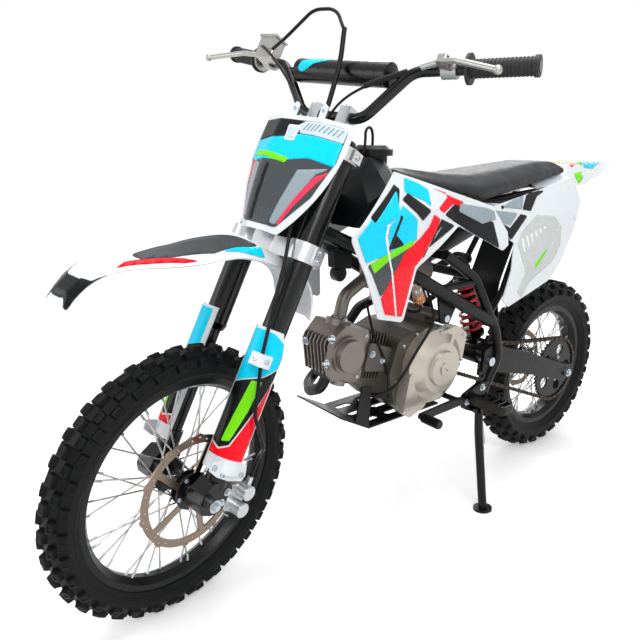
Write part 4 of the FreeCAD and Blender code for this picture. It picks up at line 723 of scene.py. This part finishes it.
def tyre(node_name, base, tyre_r, width, bead, rim_w, lugs, phase):
    """Smooth carcass with five staggered rows of knobs, where the part has its own."""
    shape = Shape()
    out, half = tyre_r - LUG_H, width / 2
    height = out - bead
    heel = (rim_w / 2 - HEEL_GAP) / half
    profile = [(bead + height * h, half * w) for h, w in [(0.0, heel), (0.1, heel)] + WALL + KNOB_RINGS]
    profile += [(r, -y) for r, y in reversed(profile)]
    axle_seat = base @ Matrix.Rotation(-math.pi / 2, 4, "X")
    shape.turned(axle_seat, profile, 4 * lugs, closed=True)
    rings = [(bead + height * h, half * w) for h, w in KNOB_RINGS]
    rings += [(r, -y) for r, y in reversed(rings)]

    def corner(ring, k):
        r, y = rings[ring]
        a = math.radians(180.0 * k / lugs + phase)
        return at(base, (r * math.cos(a), y, r * math.sin(a)))

    for row, share in enumerate(ROW_H):
        for k in range(row % 2, 2 * lugs, 2):
            corners = [corner(row, k), corner(row, k + 1), corner(row + 1, k + 1), corner(row + 1, k)]
            middle = math.radians(180.0 * (k + 0.5) / lugs + phase)
            inside = at(base, (bead * math.cos(middle), 0, bead * math.sin(middle)))
            knob(shape, corners, inside, LUG_H * share)
    made = shape.piece(node_name + "_tread", RUBBER, body_of(node_name), "tyre", smooth=28)
    made.data.materials.append(KNOB_TOP)
    limit = (tyre_r - WORN_DEPTH) * MM
    axle = base.translation
    left = base.col[1].to_3d()
    for face in made.data.polygons:
        offset = face.center - axle
        if (offset - left * offset.dot(left)).length > limit:
            face.material_index = 1
    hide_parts(node_name)


for row in TYRES:
    tyre(*row)


# Spoke nipples at the rims

SPOKES = 36
SPOKE_LEAN = 42.0  # degrees round the wheel between a spoke's ends
NIPPLE = [(3.2, -1), (3.2, 3), (2.5, 4), (2.5, 15), (1.9, 16)]
for base, body, bed_r in ((FORK, "front_wheel", 202.0), (REAR_WHEEL, "rear_wheel", 166.0)):
    nipples = Shape()
    quarter = SPOKES // 4
    for side_sign in (1, -1):
        for lean in (1, -1):
            for i in range(quarter):
                start = (i + (0.0 if side_sign > 0 else 0.5)) * 360.0 / quarter
                angle = math.radians(start + lean * SPOKE_LEAN + (0 if side_sign > 0 else lean * 3.0))
                y = side_sign * (2.0 if lean > 0 else 7.0)
                foot = (bed_r * math.cos(angle), y, bed_r * math.sin(angle))
                inward = (-math.cos(angle), side_sign * 0.12, -math.sin(angle))
                nipples.turned(seat_on(base, foot, inward), NIPPLE, 8)
    nipples.piece(f"{body}_nipples", ZINC, body, "hub_metal")


# Chain: plates and rollers on every pitch of the loop

PITCH = 12.7
CHAIN_Y = 62.0
DRIVE = (487.0, 398.0)
REAR_TEETH, DRIVE_TEETH = 48, 15
SPROCKET_R = [PITCH / (2 * math.sin(math.pi / teeth)) for teeth in (REAR_TEETH, DRIVE_TEETH)]


def chain_line():
    """Evenly spaced pin places round both sprockets, in the bike frame's X and Z."""
    rear, drive = Vector((0, REAR_R)), Vector(DRIVE)
    line = drive - rear
    slope = math.atan2(line.y, line.x)
    swell = math.asin((SPROCKET_R[0] - SPROCKET_R[1]) / line.length)
    top, low = slope + math.pi / 2 - swell, slope - math.pi / 2 + swell
    points = []
    for centre, r, start, turn, steps in (
        (drive, SPROCKET_R[1], top, top - low, 39),
        (rear, SPROCKET_R[0], low, 2 * math.pi - (top - low), 119),
    ):
        for k in range(steps + 1):
            a = start - turn * k / steps
            points.append(centre + Vector((math.cos(a), math.sin(a))) * r)
    points.append(points[0])
    lengths = [0.0]
    for a, b in zip(points, points[1:]):
        lengths.append(lengths[-1] + (b - a).length)
    count = 2 * round(lengths[-1] / PITCH / 2)
    pins = []
    j = 0
    for k in range(count):
        goal = lengths[-1] * k / count
        while lengths[j + 1] < goal:
            j += 1
        t = (goal - lengths[j]) / (lengths[j + 1] - lengths[j])
        pins.append(points[j].lerp(points[j + 1], t))
    return pins


LINK_HALF = Vector((11.2, 5.6))  # half a plate's length and height
LINK_EDGE = [
    (-1.0, 0.0), (-0.82, 0.75), (-0.5, 0.95), (-0.12, 0.62),
    (0.12, 0.62), (0.5, 0.95), (0.82, 0.75), (1.0, 0.0),
]
INNER_PLATE, OUTER_PLATE = (3.4, 4.8), (5.0, 6.6)  # faces, from the chain's middle
ROLLER = [(4.0, -3.3), (4.0, 3.3)]
PIN = [(1.9, -7.6), (1.9, 7.6)]


def chain():
    shape = Shape()
    pins = chain_line()
    outline = LINK_EDGE + [(x, -z) for x, z in reversed(LINK_EDGE[1:-1])]
    for k, pin in enumerate(pins):
        following = pins[(k + 1) % len(pins)]
        middle = (pin + following) / 2
        run = (following - pin).normalized()
        up = Vector((-run.y, run.x))
        for sign in (1, -1):
            rings = []
            for y in INNER_PLATE if k % 2 else OUTER_PLATE:
                ring = []
                for a, b in outline:
                    p = middle + run * a * LINK_HALF.x + up * b * LINK_HALF.y
                    ring.append(at(BIKE, (p.x, CHAIN_Y + sign * y, p.y)))
                rings.append(ring)
            shape.loops(rings)
        seat = seat_on(BIKE, (pin.x, CHAIN_Y, pin.y), (0, 1, 0))
        shape.turned(seat, ROLLER, 10)
        shape.turned(seat, PIN, 8)
    made = shape.piece("chain_links", CHAIN_STEEL, "chassis", "chain_steel")
    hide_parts("chain")


chain()


# Soft pieces


def soft_copy(node_name, name, voxel):
    """Even mesh of a soft node's shape, to work the fabric on."""
    mesh = frame["nodes"][node_name].data.copy()
    mesh.name = name
    made = add_object(name, mesh)
    remesh = made.modifiers.new("even", "REMESH")
    remesh.mode = "VOXEL"
    remesh.voxel_size = voxel * MM
    apply_modifiers(made)
    return made


def apply_modifiers(made):
    bpy.context.view_layer.update()
    graph = bpy.context.evaluated_depsgraph_get()
    mesh = bpy.data.meshes.new_from_object(made.evaluated_get(graph))
    made.modifiers.clear()
    made.data = mesh


def soften(made, rounds):
    smooth = made.modifiers.new("smooth", "SMOOTH")
    smooth.factor = 0.5
    smooth.iterations = rounds
    apply_modifiers(made)


def inflate(made, pressure, cap):
    """Cloth under a little pressure, with every point held within cap millimetres of where it was."""
    rest = [v.co.copy() for v in made.data.vertices]
    cloth = made.modifiers.new("cloth", "CLOTH")
    cloth.settings.use_pressure = True
    cloth.settings.uniform_pressure_force = pressure
    cloth.settings.effector_weights.gravity = 0.0
    cloth.settings.quality = 4
    for number in range(1, 21):
        bpy.context.scene.frame_set(number)
    apply_modifiers(made)
    bpy.context.scene.frame_set(1)
    for vert, place in zip(made.data.vertices, rest):
        move = vert.co - place
        if move.length > cap * MM:
            vert.co = place + move.normalized() * cap * MM


def dress(made, material, node_name):
    made.data.materials.clear()
    made.data.materials.append(material)
    smooth_faces(made.data)
    finer = made.modifiers.new("finer", "SUBSURF")
    finer.levels = finer.render_levels = 1
    apply_modifiers(made)
    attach(made, body_of(node_name))
    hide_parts(node_name)


seat_pad = soft_copy("seat", "seat_cushion", voxel=7.0)
soften(seat_pad, rounds=12)
inflate(seat_pad, pressure=3.0, cap=5.0)
soften(seat_pad, rounds=4)
dress(seat_pad, SEAT, "seat")

bar_roll = soft_copy("bar_pad", "bar_roll", voxel=4.0)
soften(bar_roll, rounds=6)
inflate(bar_roll, pressure=2.0, cap=1.5)
soften(bar_roll, rounds=2)
dress(bar_roll, PAD_VINYL, "bar_pad")


# Trim: bolts, nuts and round faces that sit on the nodes

HEAD_SEAT = Matrix.Translation(Vector((606.0, 0, 420.0)) * MM)
ENGINE = BIKE @ HEAD_SEAT @ Matrix.Rotation(math.radians(-15), 4, "Y")  # X along the cylinder
FROM_LEFT, FROM_RIGHT, FROM_AHEAD, FROM_ABOVE = (0, -1, 0), (0, 1, 0), (-1, 0, 0), (0, 0, -1)
START = 200  # beyond the side of each node that it is used on
ZINCED = ("axle_steel", ZINC)


def five_round(radius):
    """Starting points of five bolts round a wheel's axle."""
    turns = [math.radians(72 * i + 36) for i in range(5)]
    return [(radius * math.cos(a), START, radius * math.sin(a)) for a in turns]


BOTH_SIDES = "both sides"  # the points are the left side's
FITTINGS = [  # name, node, slot and finish, frame, direction, kind, radius, height, starting points
    ("clamp_bolts", "triple_clamps", ZINCED, FORK, BOTH_SIDES, "cap_screw", 5.0, 4.0,
     [(-15, START, 504), (-15, START, 522), (-15, START, 720)]),
    ("riser_bolts", "triple_clamps", ZINCED, FORK, FROM_ABOVE, "cap_screw", 4.0, 4.0,
     [(-43, 40, 1000), (-25, 40, 1000), (-43, -40, 1000), (-25, -40, 1000)]),
    ("stem_nut", "triple_clamps", ZINCED, FORK, FROM_ABOVE, "bolt", 13.0, 8.0, [(-40, 0, 1000)]),
    ("fork_caps", "fork_legs", ("axle_steel", SILVER), FORK, FROM_ABOVE, "bolt", 8.0, 5.0,
     [(LEG_U, LEG_Y, 1000), (LEG_U, -LEG_Y, 1000)]),
    ("foot_bolts", "fork_legs", ZINCED, FORK, FROM_LEFT, "bolt", 5.5, 5.0,
     [(-34, START, 24), (-28, START, 2)]),
    ("axle_nuts", "front_axle", ZINCED, FORK, BOTH_SIDES, "acorn", 9.0, 10.0, [(0, START, 0)]),
    ("pot_faces", "front_caliper", ("caliper_alloy", SILVER), FORK, FROM_LEFT, "disc", 15.0, 2.0,
     [(-108, START, 20), (-108, START, -17)]),
    ("caliper_bolts", "front_caliper", ZINCED, FORK, FROM_LEFT, "cap_screw", 5.0, 5.0,
     [(-46, START, 20), (-46, START, -12)]),
    ("disc_bolts", "front_disc", ZINCED, FORK, FROM_LEFT, "cap_screw", 5.0, 2.0, five_round(33.0)),
    ("reservoir_screws", "brake_lever", ZINCED, FORK, FROM_ABOVE, "cap_screw", 2.6, 1.6,
     [(-12, -204, 1100), (8, -238, 1100)]),
    ("head_nuts", "cylinder_head", ZINCED, ENGINE, FROM_AHEAD, "acorn", 6.5, 13.0,
     [(420, 52, 30), (420, 52, -26), (420, -39, 4)]),
    ("tappet_hexes", "cylinder_head", ("engine_alloy", CAST), ENGINE, FROM_ABOVE, "bolt", 9.0, 6.0,
     [(287, 28, 140)]),
    ("cheek_screws", "cylinder_head", ZINCED, ENGINE, FROM_LEFT, "cap_screw", 4.0, 3.0,
     [(212, START, 48), (212, START, -48)]),
    ("intake_nuts", "carburettor", ZINCED, ENGINE, FROM_ABOVE, "acorn", 4.5, 8.0,
     [(247, 22, 140), (247, -22, 140)]),
    ("barrel_bolts", "cylinder", ZINCED, ENGINE, FROM_LEFT, "acorn", 5.5, 9.0,
     [(186, 150, 8), (150, 150, -4)]),
    ("case_screws", "crankcase", ZINCED, BIKE, FROM_LEFT, "cap_screw", 4.0, 4.0,
     [(696, START, 482), (652, START, 503), (716, START, 396)]),
    ("cover_screws", "engine_covers", ZINCED, BIKE, FROM_LEFT, "cap_screw", 4.0, 4.0,
     [(704, START, 332), (516, START, 484), (600, START, 505)]),
    ("clutch_screws", "engine_covers", ZINCED, BIKE, FROM_RIGHT, "cap_screw", 4.0, 3.0,
     [(510, -START, 432), (508, -START, 372), (566, -START, 350), (690, -START, 446), (680, -START, 392),
      (640, -START, 482)]),
    ("bracket_bolts", "frame_sides", ZINCED, BIKE, BOTH_SIDES, "bolt", 6.5, 6.0,
     [(440, START, 330), (426, START, 300), (498, START, 304)]),
    ("sprocket_bolts", "rear_sprocket", ZINCED, REAR_WHEEL, FROM_LEFT, "bolt", 4.5, 4.0, five_round(36.0)),
    ("plate_screws", "side_plates", ("axle_steel", BLACK_PLASTIC), BIKE, FROM_LEFT, "cap_screw", 4.5, 2.0,
     [(424, 300, 793)]),
]


def landed(node_name, base, point, direction):
    """Placement on the surface that a ray meets, with its Z out of the surface."""
    way = along(base, direction)
    hit, normal, _, _ = surface(node_name).ray_cast(at(base, point), way)
    if hit is None:
        raise ValueError(f"nothing of {node_name} under {point}")
    if normal.dot(way) > 0:
        normal = -normal
    x = normal.orthogonal().normalized()
    return placement(x, normal.cross(x), normal, hit)


for name, node_name, (slot, material), base, direction, kind, r, h, points in FITTINGS:
    copies = [(name, 1, direction)]
    if direction == BOTH_SIDES:
        copies = [(f"{name}_{side}", sign, (0, -sign, 0)) for sign, side in SIDES]
    for copy_name, sign, way in copies:
        shape = Shape()
        for x, y, z in points:
            getattr(shape, kind)(landed(node_name, base, (x, sign * y, z), way), r, h)
        shape.piece(copy_name, material, body_of(node_name), slot)


# Small parts that the photograph shows on the outside


def plate(base, outline, axis, low, high):
    """A flat piece with an outline in two axes of a frame, carried along the third."""
    shape = Shape()
    rings = []
    for level in (low, high):
        ring = []
        for p in rounded(outline, 4.0):
            point = {"x": (level, p.x, p.y), "y": (p.x, level, p.y), "z": (p.x, p.y, level)}[axis]
            ring.append(at(base, point))
        rings.append(ring)
    shape.loops(rings)
    return shape


def cap_screws(name, screws, r, h):
    """Screws in small parts of the fork, each from a place and the way it points."""
    shape = Shape()
    for place, way in screws:
        shape.cap_screw(seat_on(FORK, place, way), r, h)
    shape.piece(name, ZINC, "steering", "axle_steel")


def turned_piece(name, seat, profile, sides, material, slot):
    shape = Shape()
    shape.turned(seat, profile, sides)
    shape.piece(name, material, "chassis", slot)


GUARD_FOOT = [(42, 84), (40, 64), (16, 54), (-20, 48), (-56, 50), (-62, 62), (-54, 84), (-15, 92)]
GUARD_SCREWS = [(32, 72), (4, 61), (-48, 62)]
for sign, side in SIDES:
    foot = plate(FORK, GUARD_FOOT, "y", sign * 104.6, sign * 108.5)
    foot.piece(f"guard_foot_{side}", WHITE, "steering", "fork_guards")
    screws = [((u, sign * 108, w), (0, sign, 0)) for u, w in GUARD_SCREWS]
    cap_screws(f"guard_foot_screws_{side}", screws, 6.0, 4.0)

for index, y in enumerate((-31, 45)):
    tab = [(y - 8, 762), (y + 8, 762), (y + 7, 792), (y - 3, 800), (y - 9, 790)]
    plate(FORK, tab, "x", 37.0, 40.0).piece(f"plate_tab_{index}", WHITE, "steering", "white_plastic")
    cap_screws(f"plate_tab_screw_{index}", [((40, y, 784), (1, 0, 0))], 3.5, 3.0)

HOSE_CLIP = [(2, 116), (22, 138), (50, 134), (52, 106), (24, 112)]
plate(FORK, HOSE_CLIP, "z", 280.0, 304.0).piece("hose_clip", WHITE, "steering", "white_plastic")
cap_screws("hose_clip_screw", [((50, 120, 292), (1, 0, 0)), ((34, 136, 292), (0.1, 1, 0))], 5.0, 3.0)

FILTER = seat_on(BIKE, (696, 110, 632), (-0.42, 0, -0.9))
FILTER_NECK = [(3.5, -12), (3.5, 0), (6, 2), (12.5, 5), (12.5, 21), (11.5, 22)]
FILTER_BOWL = [(13.2, 21), (13.2, 42), (8, 47), (3.5, 49), (3.5, 58)]
turned_piece("fuel_filter_top", FILTER, FILTER_NECK, 28, FILTER_TOP, "intake_metal")
turned_piece("fuel_filter_bowl", FILTER, FILTER_BOWL, 28, FUEL, "intake_metal")

BOX = [(838, 678), (886, 684), (889, 722), (838, 720)]
plate(BIKE, BOX, "y", 30.0, 52.0).piece("ignition_box", BLACK_PLASTIC, "chassis", "tank_black")
STRAP = [(846, 712), (864, 714), (868, 748), (850, 742)]
plate(BIKE, STRAP, "y", 38.0, 44.0).piece("ignition_strap", FRAME_PAINT, "chassis", "frame_black")
COIL = [(15, 0), (17, 3), (17, 20), (13, 23), (0.3, 23)]
turned_piece("ignition_coil", seat_on(BIKE, (862, 24, 668), (0, 1, 0)), COIL, 32, BLACK_PLASTIC, "tank_black")

TOE_X, TOE_Z = 694.0, 325.0
TOE_RIBS, TOE_STEP = 9, 5.4
shape = Shape()
for i in range(TOE_RIBS):
    seat = seat_on(BIKE, (TOE_X, 158 + TOE_STEP * i, TOE_Z), (0, 1, 0))
    shape.turned(seat, [(9.6, -1.6), (11.8, -1.2), (11.8, 1.2), (9.6, 1.6)], 24)
shape.piece("toe_peg_rubber", HOSE, "chassis", "grip_rubber")

PEG_X, PEG_TOP = 480.0, 325.0
PEG_TEETH, TOOTH_STEP = 9, 9.5
shape = Shape()
for sign, side in SIDES:
    for i in range(PEG_TEETH):
        for x in (PEG_X - 23.0, PEG_X + 21.0):
            foot = (x, sign * (152 + TOOTH_STEP * i), PEG_TOP)
            shape.turned(seat_on(BIKE, foot, (0, 0, 1)), [(2.6, -2), (2.2, 4.5), (0.5, 6)], 4)
shape.piece("peg_teeth", STEEL, "chassis", "foot_steel")

SHOULDER, BAR_TIP = Vector((-20.0, 170.0, 906.0)), Vector((-56.0, 398.0, 948.0))
GRIP_RIBS, GRIP_START, GRIP_STEP = 15, 288.0, 6.8
for sign, side in SIDES:
    shape = Shape()
    run = BAR_TIP - SHOULDER
    for i in range(GRIP_RIBS):
        p = SHOULDER + run * ((GRIP_START + GRIP_STEP * i - SHOULDER.y) / run.y)
        seat = seat_on(FORK, (p.x, sign * p.y, p.z), (run.x, sign * run.y, run.z))
        shape.turned(seat, [(15.6, -2.2), (17.0, -1.5), (17.0, 1.5), (15.6, 2.2)], 28)
    shape.piece(f"grip_ribs_{side}", GRIP, "steering", "grip_rubber")


# Cables and hoses

CABLES = [  # name, frame, body, radius, points
    ("tank_vent", BIKE, "chassis", 3.0,
     [(741, 0, 934), (742, 3, 958), (756, 8, 976), (776, 14, 968), (778, 18, 944), (786, 22, 918)]),
    ("hose_guard", FORK, "steering", 5.2, [(20.5, -4, 970), (20, 2, 950), (18, 20, 890), (16, 27, 806)]),
    ("clutch_cable", FORK, "steering", 2.6,
     [(-6, 198, 908), (12, 166, 884), (34, 104, 838), (34, 66, 804), (16, 36, 768), (10, 6, 720),
      (10, -18, 640)]),
    ("clutch_boot", FORK, "steering", 5.4, [(6, 176, 892), (14, 160, 880), (32, 112, 844)]),
    ("throttle_cable", FORK, "steering", 3.0,
     [(-10, -258, 936), (16, -236, 934), (26, -190, 912), (26, -140, 880), (8, -96, 842), (2, -52, 790),
      (8, -34, 720), (8, -30, 640)]),
    ("alternator_wire", BIKE, "chassis", 3.4,
     [(600, 60, 596), (609, 100, 545), (634, 106, 514), (679, 112, 478), (719, 108, 420), (748, 98, 385),
      (774, 70, 372), (780, 40, 372)]),
    ("breather_hose", BIKE, "chassis", 3.0,
     [(770, 30, 590), (786, 66, 530), (752, 74, 470), (730, 72, 400), (722, 66, 352)]),
    ("fuel_hose_top", BIKE, "chassis", 3.6,
     [(701, 110, 643), (712, 104, 668), (722, 80, 720), (724, 60, 776)]),
    ("fuel_hose_low", BIKE, "chassis", 3.6,
     [(676, 110, 583), (668, 108, 566), (680, 70, 560), (700, 24, 590)]),
]
for name, base, body, r, points in CABLES:
    cable(name, base, points, r, HOSE, body)


COILS, COIL_R, COIL_STEPS, HOOK = 22, 4.6, 10, 16.0


def stand_spring():
    """Pull spring along the stand's leg, drawn as a coil between two hooks."""
    top, low = Vector((456, 136, 270)), Vector((452, 158, 168))
    axis = (low - top).normalized()
    side = axis.orthogonal().normalized()
    other = axis.cross(side)
    coiled = (low - top).length - 2 * HOOK
    points = [top]
    for i in range(COILS * COIL_STEPS + 1):
        a = 2 * math.pi * i / COIL_STEPS
        place = HOOK + coiled * i / (COILS * COIL_STEPS)
        points.append(top + axis * place + (side * math.cos(a) + other * math.sin(a)) * COIL_R)
    points.append(low)
    cable("stand_spring", BIKE, points, 1.25, ZINC, "side_stand")


stand_spring()

# Bar pad: a (y, w) outline on the soft roll, seen from ahead, and its end caps
PAD_U, PAD_END, PAD_W = -20, 119.5, 896
SURFACES["bar_pad"] = BVHTree.FromObject(bar_roll, bpy.context.evaluated_depsgraph_get())
SWOOSH = [(-108, 888), (-98, 882), (-84, 886), (-66, 900), (-30, 912), (-40, 918), (-80, 914), (-104, 906)]
decal("pad_swoosh", "bar_pad", from_front, SWOOSH, "cyan")
for sign, side in SIDES:
    shape = Shape()
    seat = seat_on(FORK, (PAD_U, sign * PAD_END, PAD_W), (0, sign, 0))
    shape.turned(seat, [(24.4, -8), (25.2, -4), (24.6, 2), (20, 4.2), (8, 4.6)], 40)
    shape.piece(f"pad_end_{side}", PAD_VINYL, "steering", "bar_pad")


# Floor, light and camera

FLOOR_HALF = 30.0  # metres
corners = [(x * FLOOR_HALF, y * FLOOR_HALF, 0) for x, y in ((-1, -1), (1, -1), (1, 1), (-1, 1))]
floor_mesh = bpy.data.meshes.new("floor")
floor_mesh.from_pydata(corners, [], [(0, 1, 2, 3)])
add_object("floor", floor_mesh)


def is_seen(graph):
    """1 for rays from the camera or through a mirror or glass, which see the white backdrop."""
    direct, mirror, glass = (
        graph.add("LightPath", f"Is {kind} Ray") for kind in ("Camera", "Glossy", "Transmission")
    )
    either = graph.add("Math", "Value", {0: direct, 1: mirror}, operation="MAXIMUM")
    return graph.add("Math", "Value", {0: either, 1: glass}, operation="MAXIMUM")


floor_material, graph = new_material("floor")
place = graph.add("NewGeometry", "Position")
away = graph.add("VectorMath", "Value", {0: place}, operation="LENGTH")
fade = {"From Min": 1.2, "From Max": 5.0, "To Min": 0.3, "To Max": 0.75}
glow = graph.add("MapRange", "Result", {**fade, "Value": away})
graph.shade({
    "Base Color": (0.92, 0.92, 0.92, 1),
    "Roughness": 0.9,
    "Specular IOR Level": 0.1,
    "Emission Color": (1, 1, 1, 1),
    "Emission Strength": graph.add("Math", "Value", {0: is_seen(graph), 1: glow}, operation="MULTIPLY"),
})
floor_mesh.materials.append(floor_material)

world = bpy.data.worlds.new("studio")
bpy.context.scene.world = world
graph = Graph(world, "Background")
level = graph.add("MapRange", "Result", {"To Min": 0.42, "To Max": 1.0, "Value": is_seen(graph)})
graph.shade({"Color": (1, 1, 1, 1), "Strength": level})


def softbox(name, place, target, size, power):
    lamp = bpy.data.lights.new(name, "AREA")
    lamp.shape = "RECTANGLE"
    lamp.size, lamp.size_y = size
    lamp.energy = power
    made = add_object(name, lamp)
    made.location = place
    made.rotation_euler = (Vector(target) - Vector(place)).to_track_quat("-Z", "Y").to_euler()


softbox("key", (1.6, 2.6, 2.6), (0.1, 0, 0.5), (2.0, 1.4), 62)
softbox("top", (-0.2, 0.2, 3.2), (0, 0, 0.4), (2.6, 1.8), 60)
softbox("fill", (2.8, -1.6, 1.6), (0.2, 0, 0.5), (1.6, 1.6), 18)
softbox("back", (-2.4, -1.8, 2.2), (0, 0, 0.6), (1.6, 1.2), 30)

# The photograph's camera: place on the row frame, heading, tilt, roll and focal length
CAMERA_PLACE = Vector((1.1311, 1.0811, 0.8639))
HEADING, TILT, ROLL = (math.radians(a) for a in (-128.0328, -12.1667, -2.3537))
FOCAL_PIXELS, FRAME_PIXELS, SENSOR = 654.25, 640, 36.0

view = Vector((math.cos(TILT) * math.cos(HEADING), math.cos(TILT) * math.sin(HEADING), math.sin(TILT)))
level_right = view.cross(Vector((0, 0, 1))).normalized()
level_up = level_right.cross(view)
right = level_right * math.cos(ROLL) + level_up * math.sin(ROLL)
upward = level_up * math.cos(ROLL) - level_right * math.sin(ROLL)
lens = bpy.data.cameras.new("camera")
lens.sensor_width = SENSOR
lens.lens = FOCAL_PIXELS / FRAME_PIXELS * SENSOR
camera = add_object("camera", lens)
camera.matrix_world = placement(right, upward, -view, CAMERA_PLACE)
bpy.context.scene.camera = camera
bpy.context.scene.view_settings.view_transform = "Standard"
